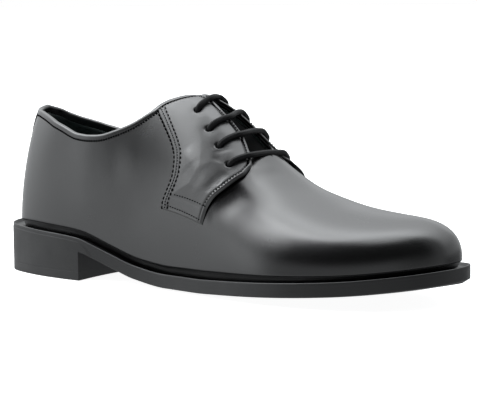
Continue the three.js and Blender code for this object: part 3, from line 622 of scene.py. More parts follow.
def finish_material(name, builder, values, depth, strength=1.0, **surface):
    """A material with one of the shared surfaces. depth is its relief in mm."""
    material = bpy.data.materials.new(name)
    material.use_nodes = True
    tree = material.node_tree
    shader = tree.nodes["Principled BSDF"]
    surfaced = node(tree, "ShaderNodeGroup", node_tree=shared_group(builder))
    for key, value in values.items():
        surfaced.inputs[key].default_value = (*value, 1) if isinstance(value, tuple) else value
    link(tree, surfaced.outputs["Colour"], shader.inputs["Base Color"])
    link(tree, surfaced.outputs["Roughness"], shader.inputs["Roughness"])
    bump = node(tree, "ShaderNodeBump")
    bump.inputs["Strength"].default_value = strength
    bump.inputs["Distance"].default_value = depth * MM
    link(tree, surfaced.outputs["Height"], bump.inputs["Height"])
    link(tree, bump.outputs["Normal"], shader.inputs["Normal"])
    for key, value in surface.items():
        shader.inputs[key.replace("_", " ")].default_value = value
    return material


# Sizes and colours that a user would change
class LeatherSettings(bpy.types.PropertyGroup):
    calf: FloatVectorProperty(name="Calf", description="Colour of the polished calf", size=3,
                              subtype="COLOR", min=0, max=1, default=(0.0022, 0.0023, 0.0026))
    rub: FloatVectorProperty(name="Rub", description="Colour where the polish is rubbed", size=3,
                             subtype="COLOR", min=0, max=1, default=(0.0042, 0.0044, 0.0048))
    smooth: FloatProperty(name="Gloss", description="Roughness where the polish is best",
                          subtype="FACTOR", min=0, max=1, default=0.17)
    dull: FloatProperty(name="Dull", description="Roughness where the polish is thin",
                        subtype="FACTOR", min=0, max=1, default=0.24)
    folds: FloatProperty(name="Folds", description="Depth of the hand-placed creases, 1 as seen",
                         min=0, max=3, default=1.0)
    nap: FloatVectorProperty(name="Lining", description="Colour of the sueded lining", size=3,
                             subtype="COLOR", min=0, max=1, default=(0.030, 0.044, 0.042))


class SeamSettings(bpy.types.PropertyGroup):
    heavy_pitch: FloatProperty(name="Heavy pitch", description="Spacing of the heavy stitches",
                               subtype="DISTANCE", unit="LENGTH", min=0.001, default=0.0026)
    heavy_thread: FloatProperty(name="Heavy thread", description="Width of the heavy thread",
                                subtype="DISTANCE", unit="LENGTH", min=0.0001, default=0.00115)
    fine_pitch: FloatProperty(name="Fine pitch", description="Spacing of the fine stitches",
                              subtype="DISTANCE", unit="LENGTH", min=0.0005, default=0.0017)
    fine_thread: FloatProperty(name="Fine thread", description="Width of the fine thread",
                               subtype="DISTANCE", unit="LENGTH", min=0.0001, default=0.00055)
    seed: IntProperty(name="Seed", description="Random order of the stitches' small tilts",
                      min=0, default=7)


class LaceSettings(bpy.types.PropertyGroup):
    thickness: FloatProperty(name="Thickness", description="Width of the round lace",
                             subtype="DISTANCE", unit="LENGTH", min=0.0005, default=0.0033)
    # The lace's colour between the strands is painted shade, and its colour on the strands is painted light
    # on the crowns.
    colour: FloatVectorProperty(name="Lace", description="Colour between the strands", size=3,
                                subtype="COLOR", min=0, max=1, default=(0.0022, 0.0022, 0.0026))
    lit_crowns: FloatVectorProperty(name="Lit crowns", description="Colour on the strands", size=3,
                             subtype="COLOR", min=0, max=1, default=(0.0065, 0.0065, 0.0075))


class SoleSettings(bpy.types.PropertyGroup):
    rubber: FloatVectorProperty(name="Rubber", description="Colour of sole and heel", size=3,
                                subtype="COLOR", min=0, max=1, default=(0.0065, 0.0067, 0.0072))
    dust: FloatVectorProperty(name="Film", description="Colour of the film on the rubber", size=3,
                              subtype="COLOR", min=0, max=1, default=(0.013, 0.0134, 0.0145))
    rim_line: FloatProperty(name="Rim line", description="How far under the rim its line runs",
                            subtype="DISTANCE", unit="LENGTH", min=0.0005, default=0.0022)


class StageSettings(bpy.types.PropertyGroup):
    floor: FloatVectorProperty(name="Floor", description="Colour of the floor", size=3,
                               subtype="COLOR", min=0, max=1, default=(0.82, 0.82, 0.82))
    glow: FloatProperty(name="Floor glow", description="Light that the paper floor gives of itself",
                        min=0, default=0.92)
    sky: FloatProperty(name="Room light", description="Brightness of the studio's softboxes and walls",
                       min=0, default=1.0)


def settings():
    return bpy.context.scene.derby_shoe


class ShoeSettings(bpy.types.PropertyGroup):
    leather: PointerProperty(type=LeatherSettings, name="Leather", description="Leather")
    seams: PointerProperty(type=SeamSettings, name="Seams", description="Seams")
    lace: PointerProperty(type=LaceSettings, name="Lace", description="Lace")
    sole: PointerProperty(type=SoleSettings, name="Sole", description="Sole and heel")
    stage: PointerProperty(type=StageSettings, name="Stage", description="Floor and light")


MATERIALS = {}


def shared_material(name, *build, **surface):
    """A material that several pieces use, made with the first of them."""
    if name not in MATERIALS:
        MATERIALS[name] = finish_material(name, *build, **surface)
    return MATERIALS[name]


def calf_leather():
    given = settings().leather
    return shared_material(
        "polished_calf", calf_group,
        {"Colour": tuple(given.calf), "Rub colour": tuple(given.rub), "Smooth": given.smooth,
         "Dull": given.dull, "Pores": 1700.0, "Waves": 130.0, "Wave share": 0.35, "Rubs": 0.15},
        0.05, Coat_Weight=0.3, Coat_Roughness=0.14, Specular_IOR_Level=1.0)


def facing_leather():
    given = settings().leather
    return shared_material(
        "grained_calf", calf_group,
        {"Colour": tuple(given.calf), "Rub colour": tuple(given.rub), "Smooth": given.smooth + 0.17,
         "Dull": given.dull + 0.2, "Pores": 1500.0, "Waves": 420.0, "Wave share": 0.35, "Rubs": 0.3},
        0.09, Coat_Weight=0.4, Coat_Roughness=0.3, Specular_IOR_Level=1.0, IOR=1.62)


def dark_leather():
    return shared_material(
        "dark_suede", nap_group,
        {"Colour": (0.0015, 0.0018, 0.0018), "Brushed": (0.004, 0.0045, 0.0045), "Fibre": 1700.0},
        0.12, Specular_IOR_Level=0.08)


def rubber():
    given = settings().sole
    return shared_material(
        "moulded_rubber", moulded_group,
        {"Colour": tuple(given.rubber), "Dust": tuple(given.dust), "Smooth": 0.36,
         "Dull": 0.52, "Lines": 2.4, "Line share": 0.6},
        0.07, Specular_IOR_Level=0.75)


# The upper's creases: width and height in mm, then station and share up.
UPPER_FOLDS = (
    (3.2, 0.22, ((0.2598, 0.7827), (0.2650, 0.7905), (0.2689, 0.8473), (0.2718, 0.9434))),
    (4.0, -0.20, ((0.2660, 0.7000), (0.2720, 0.7600), (0.2760, 0.8600), (0.2780, 0.9600))),
    (8.0, -0.50, ((0.2640, 0.6000), (0.2565, 0.4600), (0.2480, 0.3450), (0.2380, 0.2500))),
    (9.0, -0.20, ((0.2950, 0.9800), (0.2960, 0.8000), (0.2920, 0.6200), (0.2850, 0.4500))),
    (9.0, -0.20, ((0.7050, 0.9800), (0.7040, 0.8000), (0.7080, 0.6200), (0.7150, 0.4500))),
    (14.0, -0.35, ((0.0900, 0.3000), (0.1200, 0.2700), (0.1500, 0.3200), (0.1750, 0.4200))),
    (14.0, -0.35, ((0.9100, 0.3000), (0.8800, 0.2700), (0.8500, 0.3200), (0.8250, 0.4200))),
)
FACING_FOLDS = (
    (4.2, 0.42, ((0.2140, 0.5440), (0.2180, 0.5260), (0.2263, 0.4920), (0.2313, 0.4700),
                 (0.2368, 0.4440), (0.2443, 0.4060))),
    (4.2, -0.38, ((0.2507, 0.5782), (0.2477, 0.5158), (0.2452, 0.4547))),
    (3.4, -0.32, ((0.2371, 0.6633), (0.2396, 0.6458), (0.2400, 0.6122), (0.2390, 0.5700))),
    (3.6, 0.20, ((0.2418, 0.6837), (0.2457, 0.6557), (0.2514, 0.5972))),
    (2.4, -0.10, ((0.2097, 0.7228), (0.2151, 0.7285), (0.2204, 0.7497), (0.2234, 0.7928))),
    (2.4, -0.10, ((0.2308, 0.7000), (0.2366, 0.7410), (0.2399, 0.8198))),
    (7.0, -0.22, ((0.2169, 0.4739), (0.2232, 0.4383), (0.2325, 0.4186))),
)


def side_stations(heel, throat, vamp):
    return np.concatenate([
        np.linspace(0, THROAT_CORNER, heel, endpoint=False),
        np.linspace(THROAT_CORNER, THROAT_END, throat, endpoint=False),
        np.linspace(THROAT_END, TOE, vamp)])


def ring_stations(side):
    return np.concatenate([side, 1 - side[-2:0:-1]])


def shell_patches(stations, outside, inside):
    """Patches of an open shell: both skins, the foot's edge, and the edge around the opening."""
    opened = np.minimum(stations, 1 - stations) < THROAT_END + 1e-9
    rim = np.concatenate([np.flatnonzero(opened & (stations > TOE)),
                          np.flatnonzero(opened & (stations < TOE))])
    return [(outside.transpose(1, 0, 2), True), (inside.transpose(1, 0, 2), True),
            (np.stack([outside[:, 0], inside[:, 0]]), True),
            np.stack([outside[rim, -1], inside[rim, -1]])]


def top_share(station):
    """Where the leather ends on each station's section; 1 where it closes over the vamp."""
    near = np.minimum(station, 1 - station)
    ends = np.where(station > TOE, inner_top(near), outer_top(near))
    return np.where(near > THROAT_END - 1e-9, 1.0, ends)


# How far the upper's foot goes down into the sole's channel, and in over it, in mm.
FOOT_DROP = 1.7
TUCK_DEEP = 2.2
CHANNEL_DEEP = 1.8


class SHOE_OT_upper(bpy.types.Operator):
    """Last the upper: one smooth calf skin with its creases, tucked in over the sole"""
    bl_idname = "derby_shoe.upper"
    bl_label = "Upper"

    def execute(self, context):
        stations = ring_stations(side_stations(96, 40, 100))
        shares = np.linspace(0, 1, 77)
        station, share = np.meshgrid(stations, shares, indexing="ij")
        up = share * top_share(stations)[:, None]
        base = last_point(station, up)
        relief = fold_relief(base, UPPER_FOLDS) * settings().leather.folds
        tall = 0.022 + 0.020 * smooth_step(0.14, 0.28, np.minimum(station, 1 - station))
        tuck = -TUCK_DEEP * np.clip(1 - up / tall, 0, 1) ** 1.2
        outside = off_last(station, up, relief + tuck)
        inside = off_last(station, up, -UPPER_WALL + 0.1 + 0.5 * tuck)
        outside[:, 0, 2] -= FOOT_DROP
        inside[:, 0, 2] -= FOOT_DROP
        patches = shell_patches(stations, outside, inside)
        piece = make_piece("upper_leather", patches, calf_leather())
        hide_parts("upper")
        return {"FINISHED"}


class SHOE_OT_lining(bpy.types.Operator):
    """Line the inside with sueded leather, its edge folded under the collar"""
    bl_idname = "derby_shoe.lining"
    bl_label = "Lining"

    def execute(self, context):
        given = settings().leather
        stations = ring_stations(side_stations(70, 20, 40))
        near = np.minimum(stations, 1 - stations)
        ends = top_share(stations)
        rise = np.linalg.norm(last_point(stations, ends) - last_point(stations, ends - 0.02),
                              axis=-1) / 0.02
        collar = near < THROAT_CORNER + 1e-9
        drop = np.where(collar, 4.4, 1.5) / rise
        ends = np.where(near > THROAT_END - 1e-9, 1.0, ends - drop)
        shares = np.concatenate([np.linspace(0, 0.94, 30), np.linspace(0.95, 1, 8)])
        station, share = np.meshgrid(stations, shares, indexing="ij")
        up = 0.03 + share * (ends - 0.03)[:, None]
        below = (1 - share) * (ends * rise)[:, None]
        bead = 0.55 * np.exp(-((below - 0.9) / 0.7) ** 2) * (near < THROAT_END)[:, None]
        thick = 0.12 + 0.5 * smooth_step(0.0, 0.12, share)
        outside = off_last(station, up, -UPPER_WALL - 0.02)
        inside = off_last(station, up, -UPPER_WALL - 0.02 - thick - bead)
        patches = shell_patches(stations, outside, inside)
        nap = finish_material(
            "sueded_lining", nap_group,
            {"Colour": tuple(given.nap), "Brushed": (0.060, 0.084, 0.080), "Fibre": 1500.0},
            0.18, Sheen_Weight=0.35, Sheen_Roughness=0.5)
        piece = make_piece("lining", patches, nap)
        return {"FINISHED"}


# The facing's own grid: fine near its edges, where the seams and folds are.
def spaced(total, low_fine, low_step, high_fine, high_step, middle_step):
    """Distances from 0 to total, close together near both ends."""
    low = np.arange(0, low_fine, low_step)
    high = total - np.arange(0, high_fine, high_step)[::-1]
    count = max(2, int(round((high[0] - low[-1]) / middle_step)))
    return np.concatenate([low, np.linspace(low[-1], high[0], count + 1)[1:-1], high]) / total


FACING_TALL = 88.0
FACING_WIDE = 42.0


def facing_place(row, share, inner):
    front = front_at(row) + inner * inner_reach(row)
    station = rear_at(row) + (front - rear_at(row)) * share
    return station, rear_up(row) + (front_up(row) - rear_up(row)) * share


def facing_width(row, inner):
    ends = [last_point(*facing_place(row, share, inner)) for share in (0, 1)]
    return np.linalg.norm(ends[1] - ends[0], axis=-1) * 1.03


def facing_grid(inner):
    rows = spaced(FACING_TALL, 2.5, 0.25, 4.5, 0.3, 0.55)
    from_rear = spaced(FACING_WIDE, 6.4, 0.2, 4.0, 0.2, 0.55) * FACING_WIDE
    wide = facing_width(rows, inner)[:, None]
    # a column keeps its distance in mm from the nearer edge, whatever the row's width
    near_front = smooth_step(6.6, FACING_WIDE - 4.2, from_rear)
    share = from_rear / wide * (1 - near_front) + (1 - (FACING_WIDE - from_rear) / wide) * near_front
    share = np.clip(share, 0, 1)
    share[:, 0], share[:, -1] = 0, 1
    share = np.maximum.accumulate(share, axis=1)
    station, up = facing_place(rows[:, None], share, inner)
    opened = np.maximum(0, (share - GAPE_START) / (1 - GAPE_START)) ** 2
    gape = (INNER_GAPE if inner else OUTER_GAPE) * gape_share(rows)[:, None] * opened
    return rows, station, up, gape


def profile_at(profile, distance):
    return np.interp(distance, profile[:, 0], profile[:, 1])


def facing_lift(rows, station, up, inner):
    """How far the facing's face stands off the last, before its front edge opens."""
    base = off_last(station, up, 1.5)
    rear, front, bottom, top = [to_line(base, edge)[0] for edge in
                                (base[:, 0], base[:, -1], base[0], base[-1])]
    tab = np.interp(bottom, (0, 0.3, 0.7, 1.2, 1.7, 2.3, 8.0, 8.6, 9.4, 11.0, 18, 200),
                    (0.30, 0.80, 1.05, 1.10, 1.02, 1.12, 1.36, 1.28, 1.40, 1.62, FACE_LIFT, 9))
    head = np.interp(top, (0, 0.6, 2.4, 3.4, 4.8, 6.5, 200), (0.5, 0.8, 1.3, 2.0, 2.5, 3.0, 9))
    lift = np.minimum(np.minimum(profile_at(REAR_PROFILE, rear), tab), head)
    inside = smooth_step(5.5, 10, rear) * smooth_step(1.8, 4.5, front) * smooth_step(6, 11, bottom)
    lift = lift + fold_relief(base, FACING_FOLDS) * settings().leather.folds * inside
    bound = smooth_step(0.44, 0.52, np.broadcast_to(rows[:, None], lift.shape))
    edge = profile_at(ROLLED_PROFILE, front) * (1 - bound) + profile_at(BOUND_PROFILE, front) * bound
    over = np.maximum(lift - FACE_LIFT, 0) * smooth_step(3, 11, front)
    lift = np.minimum(lift, FACE_LIFT) + over
    lift = np.where(front < 4, lift + edge - FACE_LIFT, lift)
    lift = np.maximum(lift, 0.28)
    for eyelet_at, eyelet_up, _, _ in INNER_LACE if inner else LACE:
        gap = np.linalg.norm(base - off_last(eyelet_at, eyelet_up, 1.5), axis=-1)
        lift = lift - 2.1 * (1 - smooth_step(1.5, 2.1, gap)) - 0.3 * np.exp(-(gap / 4.0) ** 2)
    return lift


FACES = {}


def facing_face(inner):
    """Grid, height and opening of one facing, worked out once."""
    if inner not in FACES:
        rows, station, up, gape = facing_grid(inner)
        base = last_point(station, up).reshape(-1, 3)
        lift = facing_lift(rows, station, up, inner)
        # the inner facing is pressed flatter by the lace
        FACES[inner] = {"station": station, "up": up, "gape": gape, "base": base,
                        "lift": np.where(lift > 0.3, 0.3 + (lift - 0.3) * 0.4, lift) if inner else lift}
    return FACES[inner]


def face_height(station, up, inner=False):
    """How far the leather stands off the last there: the facing's face, or 0 beside it."""
    face = facing_face(inner)
    points = last_point(station, up).reshape(-1, 3)
    heights = (face["lift"] + face["gape"]).reshape(-1)
    found = np.zeros(len(points))
    for k, point in enumerate(points):
        gap = np.linalg.norm(face["base"] - point, axis=1)
        nearest = np.argpartition(gap, 4)[:4]
        if gap[nearest].min() < 1.0:
            weight = 1 / (gap[nearest] + 0.02)
            found[k] = max(0.0, (weight * heights[nearest]).sum() / weight.sum())
    return found.reshape(np.shape(station))


def slab(top, bottom):
    """Patches of a closed slab between two grids of the same size."""
    border = [np.concatenate([grid[0], grid[1:, -1], grid[-1, -2::-1], grid[-2:0:-1, 0]])
              for grid in (top, bottom)]
    return [top, bottom, (np.stack(border), True)]


class SHOE_OT_facings(bpy.types.Operator):
    """Cut both facings with their seams, bound front edge, tab and eyelet pits"""
    bl_idname = "derby_shoe.facings"
    bl_label = "Facings"

    def execute(self, context):
        for side, inner in (("outer", False), ("inner", True)):
            face = facing_face(inner)
            station = 1 - face["station"] if inner else face["station"]
            under = np.minimum(0.12, face["lift"] - 0.12) + face["gape"]
            top = off_last(station, face["up"], face["lift"] + face["gape"])
            bottom = off_last(station, face["up"], under)
            piece = make_piece(f"facing_{side}_leather", slab(top, bottom), facing_leather())
            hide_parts(f"facing_{side}")
        return {"FINISHED"}


# The collar binding's section: distance down from the rim, and height off the leather.
BINDING = np.array((
    (3.10, 0.02), (3.07, 0.28), (2.85, 0.44), (2.2, 0.52), (1.2, 0.56), (0.6, 0.50), (0.2, 0.34),
    (-0.08, 0.02), (-0.24, -0.42), (-0.30, -0.95), (-0.26, -1.50), (-0.08, -2.00), (0.25, -2.35),
    (0.8, -2.56), (2.0, -2.60), (3.6, -2.58), (4.2, -2.48), (4.5, -2.25), (4.5, -1.95),
    (3.0, -1.90), (1.0, -1.80), (0.6, -1.20), (0.6, -0.60), (1.0, 0.0), (2.2, 0.02),
))


def binding_path(count):
    side = np.linspace(0, 0.2034, count)
    outer = np.stack([side[::-1], outer_top(side[::-1])], -1)
    inner = np.stack([1 - side[1:], inner_top(side[1:])], -1)
    places = np.concatenate([outer, inner])
    lift = 0.012 * smooth_step(0.176, 0.184, np.minimum(places[:, 0], 1 - places[:, 0]))
    return places[:, 0], places[:, 1] + lift


def rim_frame(station, up):
    point = last_point(station, up)
    along = np.gradient(point, axis=0)
    along /= np.linalg.norm(along, axis=-1, keepdims=True)
    normal = last_normal(station, up)
    inward = np.cross(along, normal)
    inward /= np.linalg.norm(inward, axis=-1, keepdims=True)
    lower = last_point(station, up - 0.01) - point
    turned = (inward * lower).sum(-1, keepdims=True) < 0
    return point, along, normal, np.where(turned, -inward, inward)


def binding_base(station, up):
    """Height of the leather under the binding, on whichever side it is."""
    inner = station > TOE
    height = face_height(np.where(inner, 1 - station, station), up)
    far = face_height(np.where(inner, 1 - station, station), up, True)
    base = np.where(inner, far, height)
    window = np.hanning(9)[1:-1]
    padded = np.concatenate([np.repeat(base[:1], 3), base, np.repeat(base[-1:], 3)])
    return np.convolve(padded, window / window.sum(), "valid")


class SHOE_OT_binding(bpy.types.Operator):
    """Bind the collar: a folded tape over the top edge from facing to facing"""
    bl_idname = "derby_shoe.binding"
    bl_label = "Collar binding"

    def execute(self, context):
        station, up = binding_path(230)
        point, along, normal, inward = rim_frame(station, up)
        rings = []
        for down, out in BINDING:
            if down > 0:
                at, high = walk(station, up, inward * down)
                base = binding_base(at, high) if out > -0.5 else np.zeros(len(at))
                ring = off_last(at, high, out + base)
            else:
                base = binding_base(*walk(station, up, inward * 0.3)) if out > -0.5 else 0 * station
                ring = point + inward * down + normal * (out + base)[:, None]
            rings.append(ring)
        grid = np.stack(rings)
        caps = []
        for end, other in ((0, 1), (-1, -2)):
            middle = grid[:, end].mean(0)
            tip = np.stack([middle + (grid[:, end] - middle) * share for share in (1.0, 0.5, 0.0)])
            caps.append((tip, True))
        tape = make_piece("collar_binding", [(grid.transpose(1, 0, 2), True)] + caps, calf_leather())
        return {"FINISHED"}


TONGUE_DEEP = 4.2


class SHOE_OT_tongue(bpy.types.Operator):
    """Cut the tongue: a rounded slip of calf under the throat"""
    bl_idname = "derby_shoe.tongue"
    bl_label = "Tongue"

    def execute(self, context):
        rows = np.concatenate([np.linspace(0, 0.04, 8), np.linspace(0.05, 1, 60)])
        across = np.concatenate([-1 + np.linspace(0, 0.08, 8), np.linspace(-0.9, 0.9, 44),
                                 1 - np.linspace(0.08, 0, 8)])
        first, last = TONGUE[0, 0], TONGUE[-1, 0]
        along = first + (last - first) * rows
        side = tongue_side(along)
        station = np.where(across[None] > 0, along[:, None], 1 - along[:, None])
        up = 1 - np.abs(across)[None] * (1 - side[:, None])
        middle = off_last(station, up, -TONGUE_DEEP)
        edge = np.concatenate([middle[:, 0][::-1], middle[0], middle[:, -1]])
        gap, _ = to_line(middle, edge)
        half = 0.1 + 1.0 * np.sqrt(1 - np.clip(1 - gap / 1.6, 0, 1) ** 2)
        seam = -0.25 * np.exp(-((gap - 3.2) / 0.45) ** 2)
        top = off_last(station, up, -TONGUE_DEEP + half + seam)
        bottom = off_last(station, up, -TONGUE_DEEP - half)
        piece = make_piece("tongue_leather", slab(top, bottom), dark_leather())
        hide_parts("tongue")
        return {"FINISHED"}


def plate_ring(side, out_of):
    """Pairs across the sole for stations on one side."""
    near = np.stack(foot_outline(side, out_of(side)), -1)
    far = np.stack(foot_outline(1 - side, out_of(1 - side)), -1)
    near[0, 1] = far[0, 1] = (near[0, 1] + far[0, 1]) / 2
    return near, far


def ring_halves(ring, last):
    """The outer half of a ring of points seen from above, and the inner points across from it."""
    return ring[:last, :2], np.concatenate([ring[:1, :2], ring[:last - 2:-1, :2]])


def plate_cap(near, far, across, height):
    """Points across the sole between the pairs, at the height that each place has."""
    share = np.linspace(0, 1, across + 1)[None, :, None]
    flat = near[:, None] + (far - near)[:, None] * share
    z = height(flat[..., 0], np.abs(2 * np.broadcast_to(share[..., 0], flat.shape[:2]) - 1))
    return np.concatenate([flat, z[..., None]], -1)


def band_height(where):
    return where[:, 2] - sole_edge_z(where[:, 0])


# The sole edge from the tread up: out from the outline and height, in mm. Inside its lip the
# top drops into the channel that the upper stands in.
def edge_profile():
    line = SOLE_EDGE - settings().sole.rim_line / MM
    low = [(-0.7, 0.0), (-0.4, 0.05), (-0.16, 0.2), (-0.04, 0.42), (0.0, 0.7)]
    between = [(0.0, z) for z in np.linspace(1.0, line - 0.4, 13)]
    groove = [(-0.01, line - 0.2), (-0.035, line), (-0.01, line + 0.2), (0.0, line + 0.4)]
    high = [(0.0, SOLE_EDGE - 0.5), (-0.05, SOLE_EDGE - 0.28), (-0.2, SOLE_EDGE - 0.1),
            (-0.45, SOLE_EDGE), (-0.75, SOLE_EDGE - 0.03), (-1.15, SOLE_EDGE - 0.3),
            (-1.6, SOLE_EDGE - CHANNEL_DEEP + 0.3), (-2.1, SOLE_EDGE - CHANNEL_DEEP)]
    return low + between + groove + high


COVER_FRONT = 72.5
COVER_REACH = 11.0
COVER_LIFT = 0.16


def cover_share(x, up):
    """1 where the heel's flush cover lies over the sole edge, with its curved front."""
    high = SOLE_EDGE - settings().sole.rim_line / MM - 0.15
    bow = np.sqrt(np.clip(1 - (np.maximum(up, 0) / high) ** 2, 0, 1))
    front = COVER_FRONT + COVER_REACH * bow
    return smooth_step(1.5, -1.5, x - front) * smooth_step(0.3, -0.3, up - high)


class SHOE_OT_sole(bpy.types.Operator):
    """Mould the sole: a curved edge with a rim line, and a plain tread"""
    bl_idname = "derby_shoe.sole"
    bl_label = "Sole"

    def execute(self, context):
        side = side_stations(150, 40, 130)
        ring = ring_stations(side)
        layers = edge_profile()
        grid = []
        breast = breast_station(0)
        flush = smooth_step(breast + 0.004, breast, np.minimum(ring, 1 - ring))
        for out, up in layers:
            low = up < 0.8
            out_here = out * (1 - flush) if low else np.full(len(ring), out)
            x, y = foot_outline(ring, ledge_out(ring) + out_here)
            cover = cover_share(x, np.full(len(x), up)) * COVER_LIFT
            x, y = foot_outline(ring, ledge_out(ring) + out_here + cover)
            grid.append(np.stack([x, y, sole_edge_z(x) + up], -1))
        grid = np.stack(grid)
        last = len(side)
        bottom = plate_cap(*ring_halves(grid[0], last), 28, underside_z)
        top = plate_cap(*ring_halves(grid[-1], last), 28,
                        lambda x, share: sole_edge_z(x) + SOLE_EDGE - CHANNEL_DEEP)
        bottom[:, 0, 2] = bottom[:, -1, 2] = sole_edge_z(bottom[:, 0, 0])
        piece = make_piece("sole_rubber", [(grid, True), bottom, top], rubber(), sharp=38)
        give_band(piece, band_height)
        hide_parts("outsole")
        return {"FINISHED"}


def breast_station(out):
    low, high = 0.05, 0.25
    for _ in range(40):
        middle = (low + high) / 2
        if foot_outline(middle, ledge_out(middle) + out)[0] < HEEL_BREAST:
            low = middle
        else:
            high = middle
    return low


def heel_patches(layers, across=26, count=90):
    """Patches of the heel between stacked layers, each (out, height function of x and share)."""
    grids, caps = [], []
    for index, (out, height) in enumerate(layers):
        side = np.linspace(0, breast_station(out), count)
        near, far = plate_ring(side, lambda s: ledge_out(s) + out)
        flat = plate_cap(near, far, across, lambda x, share: x * 0)
        share = np.linspace(0, 1, across + 1)
        fade = np.clip((np.arange(count) - count + 28) / 27, 0, 1)[:, None]
        flat[..., 0] -= BREAST_HOLLOW * fade * (1 - (2 * share - 1) ** 2)[None]
        flat[..., 2] = height(flat[..., 0], np.abs(2 * np.broadcast_to(share, flat.shape[:2]) - 1))
        grids.append(np.concatenate([flat[:, 0], flat[-1, 1:-1], flat[::-1, -1][:-1]]))
        if index in (0, len(layers) - 1):
            caps.append(flat)
    return [(np.stack(grids), True)] + caps


class SHOE_OT_heel(bpy.types.Operator):
    """Stack the heel: block and top lift, flush at the sides, with a hollowed breast"""
    bl_idname = "derby_shoe.heel"
    bl_label = "Heel"

    def execute(self, context):
        seat = lambda x, share: underside_z(x, share) - 0.01
        block = []
        for share in np.linspace(0, 1, 14):
            block.append((COVER_LIFT, lambda x, across, s=share:
                          (TOP_LIFT + 0.12) * (1 - s) + seat(x, across) * s))
        block.insert(0, (COVER_LIFT - 0.03, lambda x, across: x * 0 + TOP_LIFT + 0.02))
        piece = make_piece("heel_rubber", heel_patches(block), rubber(), sharp=38)
        give_band(piece, lambda where: where[:, 2])
        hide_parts("heel_block")
        lift = [(COVER_LIFT - 0.35, 0.0), (COVER_LIFT - 0.1, 0.1), (COVER_LIFT, 0.35),
                (COVER_LIFT, 2.4), (COVER_LIFT, TOP_LIFT - 0.03), (COVER_LIFT - 0.03, TOP_LIFT)]
        layers = [(out, lambda x, across, z=z: x * 0 + z) for out, z in lift]
        piece = make_piece("top_lift_rubber", heel_patches(layers), rubber(), sharp=38)
        give_band(piece, lambda where: where[:, 2])
        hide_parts("heel_top_lift")
        return {"FINISHED"}


SOCK_DISH = 0.9


class SHOE_OT_insole(bpy.types.Operator):
    """Lay the insole, a little dished, with its sock leather"""
    bl_idname = "derby_shoe.insole"
    bl_label = "Insole"

    def execute(self, context):
        side = side_stations(60, 16, 60)
        ring = ring_stations(side)
        inset = -(UPPER_WALL + 0.75)
        grid = []
        for out, up in ((-0.3, 0.0), (0.0, 0.3), (0.0, INSOLE_WALL - 0.5), (-0.2, INSOLE_WALL - 0.15),
                        (-0.7, INSOLE_WALL)):
            x, y = foot_outline(ring, inset + out)
            grid.append(np.stack([x, y, upper_foot_z(x) + PLATE_GAP + up], -1))
        grid = np.stack(grid)
        last = len(side)
        patches = [(grid, True)]
        for layer, up in ((0, 0.0), (-1, INSOLE_WALL)):
            dish = 0.0 if layer == 0 else SOCK_DISH
            patches.append(plate_cap(
                *ring_halves(grid[layer], last), 24, lambda x, share, up=up, dish=dish:
                upper_foot_z(x) + PLATE_GAP + up - dish * (1 - share ** 4)))
        sock = finish_material(
            "sock_leather", nap_group,
            {"Colour": (0.02, 0.024, 0.023), "Brushed": (0.034, 0.04, 0.039), "Fibre": 900.0},
            0.1, Sheen_Weight=0.15, Sheen_Roughness=0.5)
        piece = make_piece("insole_sock", patches, sock)
        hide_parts("insole")
        return {"FINISHED"}


# Half width of the heel stay on the back seam, by share up: share, width in mm.
STAY = np.array(((0.0, 4.5), (0.1, 4.6), (0.2, 5.2), (0.3, 7.0), (0.38, 9.5), (0.45, 12.5), (0.53, 16.0)))


class SHOE_OT_heel_stay(bpy.types.Operator):
    """Sew the heel stay over the back seam"""
    bl_idname = "derby_shoe.heel_stay"
    bl_label = "Heel stay"

    def execute(self, context):
        up_line = np.linspace(0.02, 0.528, 90)
        half = np.interp(up_line, STAY[:, 0], STAY[:, 1])
        across = np.concatenate([-1 + np.linspace(0, 0.08, 5), np.linspace(-0.88, 0.88, 30),
                                 1 - np.linspace(0.08, 0, 5)])
        width = half[:, None] * across[None]
        # the station changes by a fixed share for each mm around the heel
        step = 0.002
        speed = np.linalg.norm(last_point(step, up_line) - last_point(0, up_line), axis=-1) / step
        station = width / speed[:, None]
        for _ in range(3):
            reached = np.linalg.norm(last_point(station, up_line[:, None])
                                     - last_point(0 * station, up_line[:, None]), axis=-1)
            chord = 24 * np.sin(np.abs(width) / 24)
            station = station * np.where(reached > 1e-6, chord / np.maximum(reached, 1e-6), 1)
        collar = top_share(station % 1.0)
        up = up_line[:, None] * np.minimum(1, (collar - 0.03) / (collar[-1:].max() - 0.03))
        edge = half[:, None] * (1 - np.abs(across))[None]
        lift = 0.05 + 0.5 * np.sqrt(1 - np.clip(1 - edge / 0.7, 0, 1) ** 2) \
            - 0.18 * np.exp(-((edge - 1.6) / 0.3) ** 2)
        top = off_last(station, up, lift)
        bottom = off_last(station, up, -0.2 + 0 * lift)
        piece = make_piece("heel_stay", slab(top, bottom), dark_leather())
        return {"FINISHED"}


def smooth_path(points, step):
    """Even points along a smooth curve through the given ones, and how far along each is."""
    points = np.asarray(points, float)
    span = np.linalg.norm(np.diff(points, axis=0), axis=1) ** 0.5
    knots = np.concatenate([[0], np.cumsum(span)])
    curves = [NaturalSpline(knots, points[:, k]) for k in range(3)]
    fine = np.linspace(0, knots[-1], 40 * len(points))
    line = np.stack([curve(fine) for curve in curves], -1)
    length = np.concatenate([[0], np.cumsum(np.linalg.norm(np.diff(line, axis=0), axis=1))])
    even = np.linspace(0, length[-1], max(8, int(length[-1] / step)))
    at = np.interp(even, length, fine)
    return np.stack([curve(at) for curve in curves], -1), even


